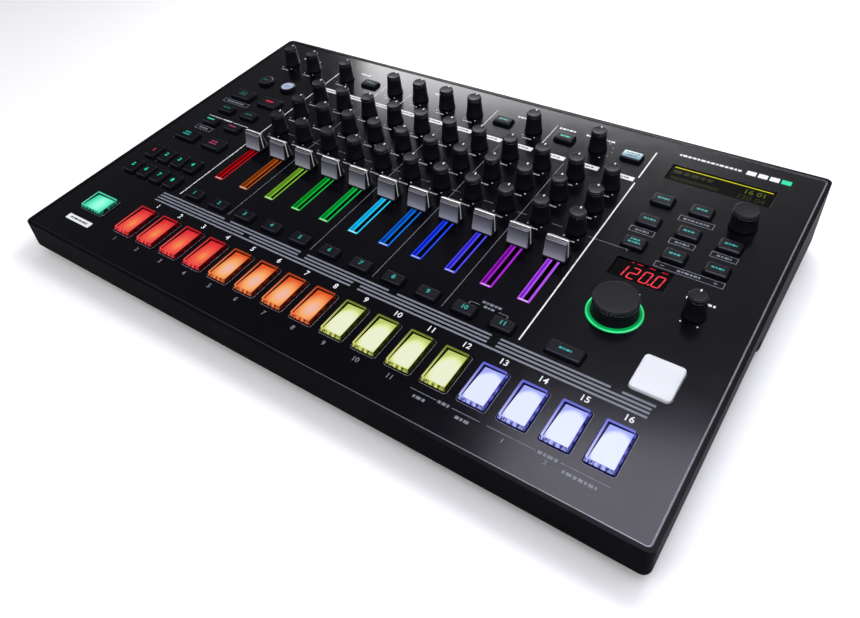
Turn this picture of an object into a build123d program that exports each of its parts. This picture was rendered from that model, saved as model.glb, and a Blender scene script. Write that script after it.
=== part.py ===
"""A desktop drum machine: a wedge case, a drilled face panel, and the controls that work through it.

World frame: +X to the player's right, +Y to the back, +Z up, origin under the middle of the case.
Panel frame: x from the left side, y up the slope from the front edge, z square to the face panel.
Everything under the face panel is measured down from its top face, so those depths are negative z.
"""

from build123d import *
from math import atan2, cos, degrees, radians, sin, sqrt
import os

os.makedirs("parts", exist_ok=True)

# ---------------------------------------------------------------- driving dimensions (mm, degrees)
# Case
case_width = 409.0
panel_length = 264.0  # front edge to back edge, along the slope
panel_slope = 5.0
front_height = 24.5  # face panel's front edge above the table
slab_depth = 21.5  # thin front part, from the face panel down
belly_start = 147.0  # where the case steps down to its deep back part
rim_width = 2.4
rim_height = 0.4  # the rim stands this much above the face panel
ledge_width = 1.4  # shelf inside the rim that the face panel lies on
ledge_height = 4.0
wall = 2.4
floor_thickness = 2.5
case_corner_radius = 4.0
case_edge_radius = 4.5
foot_height = 3.0
foot_radius = 8.0
foot_sides = 32
foot_edge_gap = 20.0  # foot's centre from the case's sides

# Rows of controls keep their share of the panel's length, and are placed in 264ths of it
row_unit = panel_length / 264

# Face panel and the board under it
panel_thickness = 2.0
panel_corner_radius = 2.0
panel_gap = 0.15  # all round, inside the rim
board_depth = 9.0  # board's top below the face panel's top
board_thickness = 1.6
board_gap = 1.0  # board's edge from the ledge

# Screws that clamp case, board and face panel together
screw_radius = 1.5
screw_head_radius = 3.0
screw_head_height = 1.8
screw_bite = 5.5  # how far the shank goes into the face panel's boss
screw_clearance = 0.2
screw_thread_gap = 0.05
screw_well_gap = 0.5
boss_wall = 1.9
panel_boss_radius = 3.5
screw_margin = 12.0  # outer screws from the case's sides
screw_middle_margin = 66.0
screw_front_margin = 10.0
screw_back_margin = 13.0
screw_row_middle = 61.0 * row_unit
screw_sides = 8  # bosses, wells and shanks are prisms

# Channels: one column each of knobs, fader and key, spread between two margins
channel_count = 11
first_channel_x = 81.5
last_channel_margin = 105.7  # from the case's right side
control_row_y = 157.0 * row_unit
control_row_pitch = 22.7 * row_unit
control_rows = 3
top_row_y = 234.0 * row_unit
instrument_key_y = 73.5 * row_unit

# Knobs
knob_radius = 6.0
knob_top_radius = 4.9
knob_height = 14.0
knob_edge = 0.5
knob_lift = 0.6  # knob's underside above the face panel
knob_sides = 24  # grip flats round a knob
channel_knob_sides = 12
tempo_knob_sides = 48
shaft_radius = 2.5
shaft_sides = 6
shaft_gap = 0.6  # round the shaft, in the face panel
shaft_end_gap = 0.3  # between the shaft's end and its sensor
pot_width = 9.6
pot_height = 5.6
tempo_knob_radius = 12.0
tempo_knob_top_radius = 11.4
tempo_knob_height = 10.5
value_knob_radius = 7.5
value_knob_top_radius = 6.7
value_knob_height = 11.5
shuffle_knob_radius = 6.2
shuffle_knob_top_radius = 5.0
shuffle_knob_height = 13.7

# Faders
fader_rest_y = 132.8 * row_unit
fader_travel_down = 35.0  # from rest to the quiet end
fader_travel_up = 5.0
fader_cap_width = 13.2
fader_cap_length = 9.4
fader_cap_lip = 1.6
fader_shoulder_width = 12.2
fader_shoulder_length = 4.6
fader_shoulder_height = 12.2
fader_crest_length = 1.6
fader_height = 13.4
fader_lift = 0.6
fader_blade_width = 1.2
fader_blade_length = 3.0
fader_blade_gap = 0.25  # round the blade, in its track
fader_end_gap = 0.5  # beyond the blade at each end of its travel
fader_track_width = 8.0
fader_track_height = 5.0
fader_track_end = 3.0
fader_blade_reach = 3.0  # how far the blade goes into its track

# Light guides round the fader slots and the tempo knob
guide_width = 7.0
guide_slot_width = 2.6
guide_end = 1.4
guide_drop = 0.2  # below the face panel's top
guide_gap = 0.15
guide_flange = 1.0
guide_rim = 0.9  # round the trough in its top
guide_trough_depth = 1.8
ring_width = 1.9
ring_gap = 0.4
ring_sides = 48

# Keys
key_gap = 0.25
key_height = 2.5
key_travel = 0.8
key_bevel = 0.7
key_skirt = 1.0  # how far a key hangs below the face panel
switch_width = 7.0
travel_margin = 0.2  # left under a key or pad that is pressed right down

# Pads
pad_count = 16
first_pad_x = 67.4
last_pad_margin = 32.9  # from the case's right side
pad_spacing = 5.08  # between neighbours
pad_row_y = 36.3 * row_unit
pad_length = 24.7
pad_height = 2.8
pad_bevel = 0.9
pad_gap = 0.75
pad_corner = 1.5
pad_travel = 1.2
pad_flange = 0.9  # lip under the face panel that keeps the pad in
pad_flange_thickness = 1.2
pad_flange_gap = 0.2
start_pad_x = 32.0
start_pad_width = 21.0
start_pad_length = 15.5
trigger_pad_margin = 30.2  # this and the other margins of the right block are from the case's right side
trigger_pad_y = 80.9 * row_unit
trigger_pad_width = 19.6
trigger_pad_length = 22.0
trigger_pad_height = 1.6
trigger_pad_gap = 0.4

# Left block of keys
left_block_x = 38.4
left_pair_pitch = 21.8
left_wide_pitch = 26.3
round_key_radius = 6.0
round_key_sides = 24
small_key_width = 13.0
small_key_length = 8.0
wide_key_width = 18.5
wide_key_length = 10.7
first_small_row_y = 142.1 * row_unit
small_row_pitch = 16.7 * row_unit
low_wide_row_y = 120.8 * row_unit
high_wide_row_y = 179.3 * row_unit
variation_key_width = 9.5
variation_key_length = 13.0
variation_pitch = 12.9
variation_row_y = 76.0 * row_unit
variation_row_pitch = 18.8 * row_unit
variation_columns = 4

# Right block
edit_columns = 3
edit_rows = 3
edit_key_width = 12.5
edit_key_length = 9.0
first_edit_margin = 74.3
edit_column_pitch = 21.9
first_edit_y = 161.0 * row_unit
edit_row_pitch = 20.7 * row_unit
mute_key_margin = 72.2
mute_key_width = 19.0
mute_key_length = 8.5
tempo_knob_margin = 63.3
tempo_knob_y = 110.0 * row_unit
shuffle_knob_margin = 30.0
shuffle_knob_y = 127.0 * row_unit

# Displays
window_drop = 0.8
window_gap = 0.15
window_flange = 1.2
window_flange_thickness = 1.6
text_window_margin = 52.5
text_window_y = 231.75 * row_unit
text_window_width = 59.0
text_window_length = 15.5
tempo_window_margin = 63.0
tempo_window_y = 141.5 * row_unit
tempo_window_width = 30.0
tempo_window_length = 15.0

# Back of the case. Sockets keep their share of the case's width, and are placed in 409ths of it
column_unit = case_width / 409
socket_height = 19.5  # sockets' centre line above the table
socket_recess = 0.2  # sockets stop this far inside the case's back face
socket_gap = 0.25  # round each socket's nose, in its window
socket_shoulder = 1.6  # how far a body stands out past its nose, behind the wall
jack_pitch = 18.0
jack_first_x = 6.0 * column_unit
jack_second_x = 76.0 * column_unit
jack_group_counts = (3, 6)
jack_bore_radius = 3.25
jack_bore_length = 20.0
jack_nose_width = 11.0
jack_end_wall = 2.0
trigger_jack_x = -15.0 * column_unit
trigger_jack_bore_radius = 1.8
trigger_jack_bore_length = 12.0
trigger_jack_nose_width = 6.5
midi_first_x = -60.0 * column_unit
midi_pitch = 22.0
midi_nose_width = 17.0
midi_shell_radius = 7.2
midi_insert_radius = 5.8
midi_recess = 5.0
midi_sides = 24
midi_body_length = 12.0
usb_x = -84.0 * column_unit
usb_nose_width = 12.0
usb_nose_height = 11.0
usb_mouth_width = 8.6
usb_mouth_height = 7.9
usb_mouth_depth = 9.0
usb_tongue_width = 5.6
usb_tongue_height = 3.2
card_slot_x = -112.0 * column_unit
card_nose_width = 28.0
card_nose_height = 5.0
card_slot_width = 24.6
card_slot_height = 2.5
card_slot_depth = 14.0
power_inlet_x = -144.0 * column_unit
power_inlet_nose_width = 9.0
power_inlet_bore_radius = 3.1
power_inlet_pin_radius = 1.0
power_inlet_depth = 9.0
power_inlet_sides = 16
power_switch_x = -168.0 * column_unit
power_switch_width = 9.0
power_switch_proud = 0.2
power_switch_bevel = 0.6
power_switch_travel = 1.5
power_switch_gap = 0.3
power_switch_body_length = 10.0
power_switch_wall = 2.0

# ---------------------------------------------------------------- frames
case_depth = panel_length * cos(radians(panel_slope))
panel_place = Location((-case_width / 2, -case_depth / 2, front_height), (panel_slope, 0, 0))


def panel_to_world(y, z):
    """World (y, z) of a point given in the panel frame."""
    up, along = sin(radians(panel_slope)), cos(radians(panel_slope))
    return (y * along - z * up - case_depth / 2, front_height + y * up + z * along)


def slab(width, length, low, high, x=0.0, y=0.0):
    """A block of that plan size about (x, y), from height low to height high."""
    return Pos(x, y, (low + high) / 2) * Box(width, length, high - low)


def prism(sides, radius, low, high, x=0.0, y=0.0, taper=0.0):
    """An upright prism whose corners lie on that radius at its foot, leaning in by taper degrees."""
    return Pos(x, y, low) * extrude(RegularPolygon(radius, sides), amount=high - low, taper=taper)


def rounded_slab(width, length, radius, low, high, x=0.0, y=0.0):
    plan = RectangleRounded(width, length, radius)
    return Pos(x, y, low) * extrude(plan, amount=high - low)


def pad_slab(width, length, margin, low, high, x, y):
    """A pad's outline, its corners cut off, grown evenly by margin."""
    plan = Rectangle(width + 2 * margin, length + 2 * margin)
    plan = chamfer(plan.vertices(), pad_corner + margin * (2 - sqrt(2)))
    return Pos(x, y, low) * extrude(plan, amount=high - low)


def cut_all(body, tools):
    """The body with every tool cut from it in one operation."""
    return body.cut(*[solid for tool in tools for solid in tool.solids()])


def save(name, shapes, place=Location()):
    """Writes one node: its shapes' separate solids, moved to their place."""
    shapes = shapes if isinstance(shapes, (list, tuple)) else [shapes]
    solids = [place * solid for shape in shapes for solid in shape.solids()]
    node = solids[0] if len(solids) == 1 else Compound(children=solids)
    node.label = name
    export_step(node, f"parts/{name}.step")


# ---------------------------------------------------------------- positions
channel_pitch = (case_width - first_channel_x - last_channel_margin) / (channel_count - 1)
pad_pitch = (case_width - first_pad_x - last_pad_margin) / (pad_count - 1)
pad_width = pad_pitch - pad_spacing
first_edit_x = case_width - first_edit_margin


def channel_x(index):
    return first_channel_x + index * channel_pitch


def pair(pitch, y):
    """Two places side by side in the left block."""
    return [(left_block_x - pitch / 2, y), (left_block_x + pitch / 2, y)]


top_key_channels = (1, 6, 8, 10)
top_knob_channels = [i for i in range(channel_count) if i not in top_key_channels][:7]
top_knob_places = pair(left_pair_pitch, top_row_y) + [(channel_x(i), top_row_y) for i in top_knob_channels]
channel_knob_places = [
    (channel_x(i), control_row_y + row * control_row_pitch)
    for row in range(control_rows)
    for i in range(channel_count)
]
high_row_y = control_row_y + (control_rows - 1) * control_row_pitch
value_knob_x = first_edit_x + (edit_columns - 1) * edit_column_pitch
value_knob_place = (value_knob_x, high_row_y)
tempo_knob_place = (case_width - tempo_knob_margin, tempo_knob_y)
shuffle_knob_place = (case_width - shuffle_knob_margin, shuffle_knob_y)
pad_places = [(first_pad_x + i * pad_pitch, pad_row_y) for i in range(pad_count)]
start_pad_place = (start_pad_x, pad_row_y)
trigger_pad_place = (case_width - trigger_pad_margin, trigger_pad_y)
mute_key_place = (case_width - mute_key_margin, instrument_key_y)
text_window_place = (case_width - text_window_margin, text_window_y)
tempo_window_place = (case_width - tempo_window_margin, tempo_window_y)

# Key groups: (node, [(x, y), ...], width, length); width None is a round key
small_key_rows = [pair(left_pair_pitch, first_small_row_y + row * small_row_pitch) for row in range(2)]
edit_key_places = [
    (first_edit_x + column * edit_column_pitch, first_edit_y + row * edit_row_pitch)
    for row in range(edit_rows)
    for column in range(edit_columns)
    if row < edit_rows - 1 or column < edit_columns - 1
]
variation_left = left_block_x - variation_pitch * (variation_columns - 1) / 2
variation_places = [
    (variation_left + column * variation_pitch, variation_row_y + row * variation_row_pitch)
    for row in range(2)
    for column in range(variation_columns)
]
key_groups = {
    "round_keys": [(pair(left_pair_pitch, high_row_y), None, None)],
    "function_keys": [
        (pair(left_wide_pitch, high_wide_row_y), wide_key_width, wide_key_length),
        (small_key_rows[0] + small_key_rows[1], small_key_width, small_key_length),
        (pair(left_wide_pitch, low_wide_row_y), wide_key_width, wide_key_length),
    ],
    "variation_keys": [(variation_places, variation_key_width, variation_key_length)],
    "instrument_keys": [
        ([(channel_x(i), instrument_key_y) for i in range(channel_count)], small_key_width, small_key_length)
    ],
    "effect_keys": [
        ([(channel_x(i), top_row_y) for i in top_key_channels], small_key_width, small_key_length)
    ],
    "edit_keys": [(edit_key_places, edit_key_width, edit_key_length)],
    "mute_key": [([mute_key_place], mute_key_width, mute_key_length)],
}
all_keys = [
    (place, width, length)
    for groups in key_groups.values()
    for places, width, length in groups
    for place in places
]

screw_sides_x = (screw_margin, case_width - screw_margin)
screw_end_rows = (screw_front_margin, panel_length - screw_back_margin)
screw_places = [(x, y) for y in screw_end_rows for x in screw_sides_x]
screw_places += [(x, screw_row_middle) for x in (screw_middle_margin, case_width - screw_middle_margin)]

# ---------------------------------------------------------------- depths that several pieces share
board_top = -board_depth
board_bottom = board_top - board_thickness
screw_bearing = -(slab_depth - screw_head_height - screw_well_gap)
key_bottom = -panel_thickness - key_skirt
key_switch_top = key_bottom - key_travel - travel_margin
pad_flange_top = -panel_thickness - pad_flange_gap
pad_bottom = pad_flange_top - pad_flange_thickness
pad_switch_top = pad_bottom - pad_travel - travel_margin
pot_top = board_top + pot_height
track_top = board_top + fader_track_height
slot_end = fader_blade_length / 2 + fader_end_gap
slot_front_y = fader_rest_y - fader_travel_down - slot_end
slot_back_y = fader_rest_y + fader_travel_up + slot_end
slot_length = slot_back_y - slot_front_y
slot_y = (slot_front_y + slot_back_y) / 2
guide_length = slot_length + 2 * guide_end
ring_outer = tempo_knob_radius + ring_gap + ring_width


# ---------------------------------------------------------------- sockets, in the world frame
back_inside = case_depth / 2 - wall  # inner face of the back wall
socket_face = case_depth / 2 - socket_recess
jack_starts = (jack_first_x, jack_second_x)
jack_places = [
    start + i * jack_pitch for start, count in zip(jack_starts, jack_group_counts) for i in range(count)
]
midi_places = [midi_first_x, midi_first_x + midi_pitch]
power_window = power_switch_width + 2 * power_switch_gap


def back_block(width, height, front, back, x):
    """A block on the sockets' centre line, from y front to y back."""
    return Pos(x, (front + back) / 2, socket_height) * Box(width, back - front, height)


def back_rod(radius, front, back, x):
    turned = Rot(90, 0, 0) * Cylinder(radius, back - front)
    return Pos(x, (front + back) / 2, socket_height) * turned


def back_prism(sides, radius, front, back, x):
    turned = Rot(90, 0, 0) * extrude(RegularPolygon(radius, sides), amount=back - front)
    return Pos(x, back, socket_height) * turned


def back_windows():
    """One window in the back wall for each socket's nose and for the power button."""
    noses = [(jack_nose_width, jack_nose_width, x) for x in jack_places]
    noses += [(midi_nose_width, midi_nose_width, x) for x in midi_places]
    noses.append((trigger_jack_nose_width, trigger_jack_nose_width, trigger_jack_x))
    noses.append((usb_nose_width, usb_nose_height, usb_x))
    noses.append((card_nose_width, card_nose_height, card_slot_x))
    noses.append((power_inlet_nose_width, power_inlet_nose_width, power_inlet_x))
    front, back = back_inside - 1, case_depth / 2 + 1
    grow = 2 * socket_gap
    windows = [back_block(width + grow, height + grow, front, back, x) for width, height, x in noses]
    return windows + [back_block(power_window, power_window, front, back, power_switch_x)]


def socket_block(width, height, length, x):
    """A socket's body behind the wall, and the narrower nose that fills its window."""
    grow = 2 * socket_shoulder
    body = back_block(width + grow, height + grow, socket_face - length, back_inside, x)
    return body.fuse(back_block(width, height, back_inside, socket_face, x))


def jack(x, nose_width, bore_radius, bore_length):
    """Jack socket with a blind bore."""
    block = socket_block(nose_width, nose_width, bore_length + jack_end_wall, x)
    return block - back_rod(bore_radius, socket_face - bore_length, socket_face + 1, x)


def midi_socket(x):
    """Round five-pin socket, with a ring-shaped gap between its shell and its insert."""
    block = socket_block(midi_nose_width, midi_nose_width, midi_body_length, x)
    gap = (socket_face - midi_recess, socket_face + 1, x)
    shell = back_prism(midi_sides, midi_shell_radius, *gap)
    return block - (shell - back_prism(midi_sides, midi_insert_radius, *gap))


def usb_socket():
    """Square socket with a contact tongue across the middle of its mouth."""
    low = socket_face - usb_mouth_depth
    block = socket_block(usb_nose_width, usb_nose_height, usb_mouth_depth + jack_end_wall, usb_x)
    mouth = back_block(usb_mouth_width, usb_mouth_height, low, socket_face + 1, usb_x)
    return block - (mouth - back_block(usb_tongue_width, usb_tongue_height, low, socket_face - 1, usb_x))


def card_socket():
    block = socket_block(card_nose_width, card_nose_height, card_slot_depth + jack_end_wall, card_slot_x)
    slot = (card_slot_width, card_slot_height, socket_face - card_slot_depth, socket_face + 1, card_slot_x)
    return block - back_block(*slot)


def power_inlet():
    """Low-voltage inlet: a round bore with a contact pin down its middle."""
    width = power_inlet_nose_width
    low = socket_face - power_inlet_depth
    block = socket_block(width, width, power_inlet_depth + jack_end_wall, power_inlet_x)
    sides = power_inlet_sides
    bore = back_prism(sides, power_inlet_bore_radius, low, socket_face + 1, power_inlet_x)
    pin = back_prism(sides, power_inlet_pin_radius, low, socket_face - 1, power_inlet_x)
    return block - (bore - pin)


power_well_floor = back_inside - power_switch_body_length + power_switch_wall


def power_switch_body():
    """Housing behind the wall that the power button slides in."""
    outer = power_window + 2 * power_switch_wall
    front = back_inside - power_switch_body_length
    body = back_block(outer, outer, front, back_inside, power_switch_x)
    return body - back_block(power_window, power_window, power_well_floor, back_inside + 1, power_switch_x)


def power_switch():
    """Push button with a bevelled face, almost flush with the back of the case."""
    inner = power_well_floor + power_switch_travel + travel_margin
    outer = case_depth / 2 - power_switch_proud
    button = back_block(power_switch_width, power_switch_width, inner, outer, power_switch_x)
    return chamfer(button.edges().group_by(Axis.Y)[-1], power_switch_bevel)


# ---------------------------------------------------------------- case
def case_profile(inset, floor, top):
    """Side outline of the case, moved in by inset from its walls and by floor from its underside."""
    back = case_depth / 2 - inset
    low = foot_height + floor
    step_y, step_z = panel_to_world(belly_start + inset, -(slab_depth - floor))
    up = sin(radians(panel_slope))
    back_top = panel_to_world((case_depth - inset + top * up) / cos(radians(panel_slope)), top)
    return [
        panel_to_world(inset, top),
        back_top,
        (back, low),
        (step_y, low),
        (step_y, step_z),
        panel_to_world(inset, -(slab_depth - floor)),
    ]


def case_block(inset, floor, top, edge_radius=0.0):
    """The case's outline pushed out to its width, with its lower edges rounded if a radius is given."""
    outline = make_face(Polyline(*case_profile(inset, floor, top), close=True))
    if edge_radius:
        outline = fillet(outline.vertices().sort_by(Axis.Y)[:4], edge_radius)
    return extrude(Plane.YZ * outline, amount=case_width / 2 - inset, both=True)


def case_outside():
    """The full outside: walls square to the face panel, every edge rounded but those at the rim."""
    block = case_block(0.0, 0.0, rim_height, case_edge_radius)
    sides = [
        edge
        for edge in block.edges()
        if abs(abs(edge.center().X) - case_width / 2) < 0.01
        and abs(edge.length - panel_length) > 1.0
    ]
    return fillet(sides, case_corner_radius)


def at_panel(shape):
    return panel_place * shape


case_middle = panel_length / 2
outside = case_outside()
main_hollow = case_block(wall, floor_thickness, -panel_thickness - ledge_height)
ledge_inset = rim_width + ledge_width
ledge_hollow = case_block(ledge_inset, floor_thickness, -panel_thickness + 1.0)
panel_pocket = rounded_slab(
    case_width - 2 * rim_width,
    panel_length - 2 * rim_width,
    panel_corner_radius + panel_gap,
    -panel_thickness,
    rim_height + 1.0,
    case_width / 2,
    case_middle,
)
well_radius = screw_head_radius + screw_well_gap
boss_radius = well_radius + boss_wall
deep = -2 * slab_depth - front_height  # well below the whole case
screw_hole_radius = screw_radius + screw_clearance


def screw_prisms(radius, top):
    """A prism at every screw, from well below the case up to that height under the face panel."""
    return [at_panel(prism(screw_sides, radius, deep, top, x, y)) for x, y in screw_places]


def bottom_case():
    """Tray with screw bosses, a ledge for the face panel and a window for the sockets."""
    tray = outside - at_panel(panel_pocket) - main_hollow - ledge_hollow
    bosses = [boss & main_hollow for boss in screw_prisms(boss_radius, board_bottom)]
    screw_cuts = screw_prisms(well_radius, screw_bearing) + screw_prisms(screw_hole_radius, board_top)
    cuts = screw_cuts + back_windows()
    return cut_all(tray.fuse(*[b.solid() for b in bosses]), cuts)


def rubber_feet():
    """Four feet, cut to lie flat on the case's sloping and level undersides."""
    front_y, back_y = -case_depth / 2 + foot_edge_gap, case_depth / 2 - foot_edge_gap
    side_x = case_width / 2 - 2 * foot_edge_gap
    posts = [
        prism(foot_sides, foot_radius, 0, slab_depth / 2, x, y)
        for x in (-side_x, side_x)
        for y in (front_y, back_y)
    ]
    return [(post - outside).solids().sort_by(Axis.Z)[0] for post in posts]


def case_screws():
    tip = -board_depth + screw_bite
    head_low = screw_bearing - screw_head_height
    return [
        prism(screw_sides, screw_head_radius, head_low, screw_bearing, x, y).fuse(
            prism(screw_sides, screw_radius, screw_bearing, tip, x, y)
        )
        for x, y in screw_places
    ]


# ---------------------------------------------------------------- face panel
def key_opening(place, width, length):
    x, y = place
    low, high = -panel_thickness - 1, 1
    if width is None:
        return prism(round_key_sides, round_key_radius + key_gap, low, high, x, y)
    return slab(width + 2 * key_gap, length + 2 * key_gap, low, high, x, y)


def panel_openings():
    low, high = -panel_thickness - 1, 1
    holes = [key_opening(*key) for key in all_keys]
    shafts = channel_knob_places + top_knob_places + [value_knob_place, shuffle_knob_place]
    holes += [prism(shaft_sides, shaft_radius + shaft_gap, low, high, x, y) for x, y in shafts]
    holes.append(prism(ring_sides, ring_outer + guide_gap, low, high, *tempo_knob_place))
    holes += [pad_slab(pad_width, pad_length, pad_gap, low, high, x, y) for x, y in pad_places]
    holes.append(pad_slab(start_pad_width, start_pad_length, pad_gap, low, high, *start_pad_place))
    trigger = (trigger_pad_width, trigger_pad_length, trigger_pad_gap)
    holes.append(pad_slab(*trigger, low, high, *trigger_pad_place))
    for i in range(channel_count):
        holes.append(
            slab(guide_width + 2 * guide_gap, guide_length + 2 * guide_gap, low, high, channel_x(i), slot_y)
        )
    holes.append(slab(text_window_width, text_window_length, low, high, *text_window_place))
    holes.append(slab(tempo_window_width, tempo_window_length, low, high, *tempo_window_place))
    return holes


def face_panel():
    plate = rounded_slab(
        case_width - 2 * rim_width - 2 * panel_gap,
        panel_length - 2 * rim_width - 2 * panel_gap,
        panel_corner_radius,
        -panel_thickness,
        0,
        case_width / 2,
        case_middle,
    )
    plate = cut_all(plate, panel_openings())
    boss = (screw_sides, panel_boss_radius, board_top, -panel_thickness)
    pilot = (screw_sides, screw_radius + screw_thread_gap, board_top - 1, board_top + screw_bite + 0.5)
    bosses = [prism(*boss, x, y) for x, y in screw_places]
    pilots = [prism(*pilot, x, y) for x, y in screw_places]
    return cut_all(plate.fuse(*[b.solid() for b in bosses]), pilots)


# ---------------------------------------------------------------- board and what stands on it
def main_board():
    """Circuit board, clear of the ledge and of the case's slanting back wall."""
    edge = ledge_inset + board_gap
    back_y = panel_length - edge - board_depth * sin(radians(panel_slope))
    middle = (case_width / 2, (edge + back_y) / 2)
    board = slab(case_width - 2 * edge, back_y - edge, board_bottom, board_top, *middle)
    hole = (screw_sides, screw_hole_radius, board_bottom - 1, board_top + 1)
    return cut_all(board, [prism(*hole, x, y) for x, y in screw_places])


def board_components():
    """Knob sensors and key switches soldered to the board."""
    knobs = channel_knob_places + top_knob_places + [value_knob_place, shuffle_knob_place, tempo_knob_place]
    pads = pad_places + [start_pad_place, trigger_pad_place]
    parts = [slab(pot_width, pot_width, board_top, pot_top, x, y) for x, y in knobs]
    parts += [slab(switch_width, switch_width, board_top, key_switch_top, x, y) for (x, y), _, _ in all_keys]
    return parts + [slab(switch_width, switch_width, board_top, pad_switch_top, x, y) for x, y in pads]


def fader_track(x):
    """Fader body: a long box with a slot that the blade slides along."""
    length = slot_length + 2 * fader_track_end
    body = slab(fader_track_width, length, board_top, track_top, x, slot_y)
    slot_width = fader_blade_width + 2 * fader_blade_gap
    slot_floor = track_top - fader_blade_reach - fader_blade_gap
    return body - slab(slot_width, slot_length, slot_floor, track_top + 1, x, slot_y)


# ---------------------------------------------------------------- light guides and windows
def fader_guide(x):
    """Clear trough round a fader slot, with a flange against the face panel's underside."""
    bar = slab(guide_width, guide_length, -panel_thickness, -guide_drop, x, slot_y)
    grow = 2 * guide_flange + 2 * guide_gap
    flange = slab(
        guide_width + grow, guide_length + grow, -panel_thickness - guide_flange, -panel_thickness, x, slot_y
    )
    trough_floor = -guide_drop - guide_trough_depth
    trough = slab(guide_width - 2 * guide_rim, guide_length - 2 * guide_rim, trough_floor, 1, x, slot_y)
    slot = slab(guide_slot_width, slot_length, -panel_thickness - 2 * guide_flange, 1, x, slot_y)
    return bar.fuse(flange) - trough - slot


def tempo_ring():
    """Light ring under the tempo knob, stepped to hook under the face panel."""
    x, y = tempo_knob_place
    low = -panel_thickness - guide_flange
    flange = prism(ring_sides, ring_outer + guide_gap + guide_flange, low, -panel_thickness, x, y)
    ring = prism(ring_sides, ring_outer, -panel_thickness, -guide_drop, x, y)
    return ring.fuse(flange) - prism(shaft_sides, shaft_radius + shaft_gap, low - 1, 1, x, y)


def window(x, y, width, length):
    """Display lens, set down in its opening, with a flange against the face panel's underside."""
    lens = slab(width - 2 * window_gap, length - 2 * window_gap, -panel_thickness, -window_drop, x, y)
    low = -panel_thickness - window_flange_thickness
    flange = slab(width + 2 * window_flange, length + 2 * window_flange, low, -panel_thickness, x, y)
    return lens.fuse(flange)


# ---------------------------------------------------------------- controls, each in the panel frame
def knob(radius, top_radius, height, sides, x, y):
    """Tapered knob with grip flats and a bevelled top, on its shaft."""
    shaft_end = pot_top + shaft_end_gap
    flank_height = height - knob_lift
    taper = degrees(atan2(radius - top_radius, flank_height))
    body = prism(sides, radius, knob_lift, height, x, y, taper)
    if sides > channel_knob_sides:
        body = bevelled(body, knob_edge)
    return body.fuse(prism(shaft_sides, shaft_radius, shaft_end, knob_lift, x, y))


def fader_cap(x):
    """Cap with an upright lip, slanting sides and a narrow crest, on its blade."""
    lip_top = fader_lift + fader_cap_lip

    def outline(base, shoulder, crest):
        right = [(base / 2, fader_lift), (base / 2, lip_top)]
        right += [(shoulder / 2, fader_shoulder_height), (crest / 2, fader_height)]
        left = [(-y, z) for y, z in reversed(right)]
        return make_face(Polyline(*right, *left, close=True))

    side_view = Plane.YZ * outline(fader_cap_length, fader_shoulder_length, fader_crest_length)
    front_view = Plane.XZ * outline(fader_cap_width, fader_shoulder_width, fader_shoulder_width)
    wedge = extrude(side_view, amount=fader_cap_width, both=True)
    cap = wedge & extrude(front_view, amount=fader_cap_length, both=True)
    blade_low = track_top - fader_blade_reach
    blade = slab(fader_blade_width, fader_blade_length, blade_low, fader_lift)
    return Pos(x, fader_rest_y, 0) * cap.fuse(blade)


def bevelled(body, size):
    """The body with its top edges chamfered."""
    return chamfer(body.edges().group_by(Axis.Z)[-1], size)


def key(place, width, length):
    x, y = place
    if width is None:
        body = prism(round_key_sides, round_key_radius, key_bottom, key_height, x, y)
    else:
        body = slab(width, length, key_bottom, key_height, x, y)
    return bevelled(body, key_bevel)


def pad(x, y, width, length, height, gap):
    """Pad cap with a flange that stays under the face panel."""
    cap = bevelled(pad_slab(width, length, 0, pad_flange_top, height, x, y), pad_bevel)
    grow = 2 * (gap + pad_flange)
    flange = slab(width + grow, length + grow, pad_bottom, pad_flange_top, x, y)
    return cap.fuse(flange)


# ---------------------------------------------------------------- write every node
save("bottom_case", bottom_case())
save("rubber_feet", rubber_feet())
save("case_screws", case_screws(), panel_place)
save("face_panel", face_panel(), panel_place)
save("main_board", main_board(), panel_place)
save("board_components", board_components(), panel_place)
save("fader_tracks", [fader_track(channel_x(i)) for i in range(channel_count)], panel_place)
guides = [fader_guide(channel_x(i)) for i in range(channel_count)]
save("light_guides", guides + [tempo_ring()], panel_place)
text_window = window(*text_window_place, text_window_width, text_window_length)
tempo_window = window(*tempo_window_place, tempo_window_width, tempo_window_length)
save("display_windows", [text_window, tempo_window], panel_place)
large_jack = (jack_nose_width, jack_bore_radius, jack_bore_length)
small_jack = (trigger_jack_nose_width, trigger_jack_bore_radius, trigger_jack_bore_length)
sockets = [jack(x, *large_jack) for x in jack_places] + [jack(trigger_jack_x, *small_jack)]
sockets += [midi_socket(x) for x in midi_places] + [usb_socket(), card_socket()]
save("rear_sockets", sockets + [power_inlet(), power_switch_body()])
save("power_switch", power_switch())

small_knob = (knob_radius, knob_top_radius, knob_height)
channel_knobs = [knob(*small_knob, channel_knob_sides, x, y) for x, y in channel_knob_places]
save("channel_knobs", channel_knobs, panel_place)
for number, (x, y) in enumerate(top_knob_places, 1):
    save(f"top_knob_{number}", knob(*small_knob, knob_sides, x, y), panel_place)
tempo_size = (tempo_knob_radius, tempo_knob_top_radius, tempo_knob_height, tempo_knob_sides)
save("tempo_knob", knob(*tempo_size, *tempo_knob_place), panel_place)
value_size = (value_knob_radius, value_knob_top_radius, value_knob_height, knob_sides)
save("value_knob", knob(*value_size, *value_knob_place), panel_place)
shuffle_size = (shuffle_knob_radius, shuffle_knob_top_radius, shuffle_knob_height, knob_sides)
save("shuffle_knob", knob(*shuffle_size, *shuffle_knob_place), panel_place)

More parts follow.
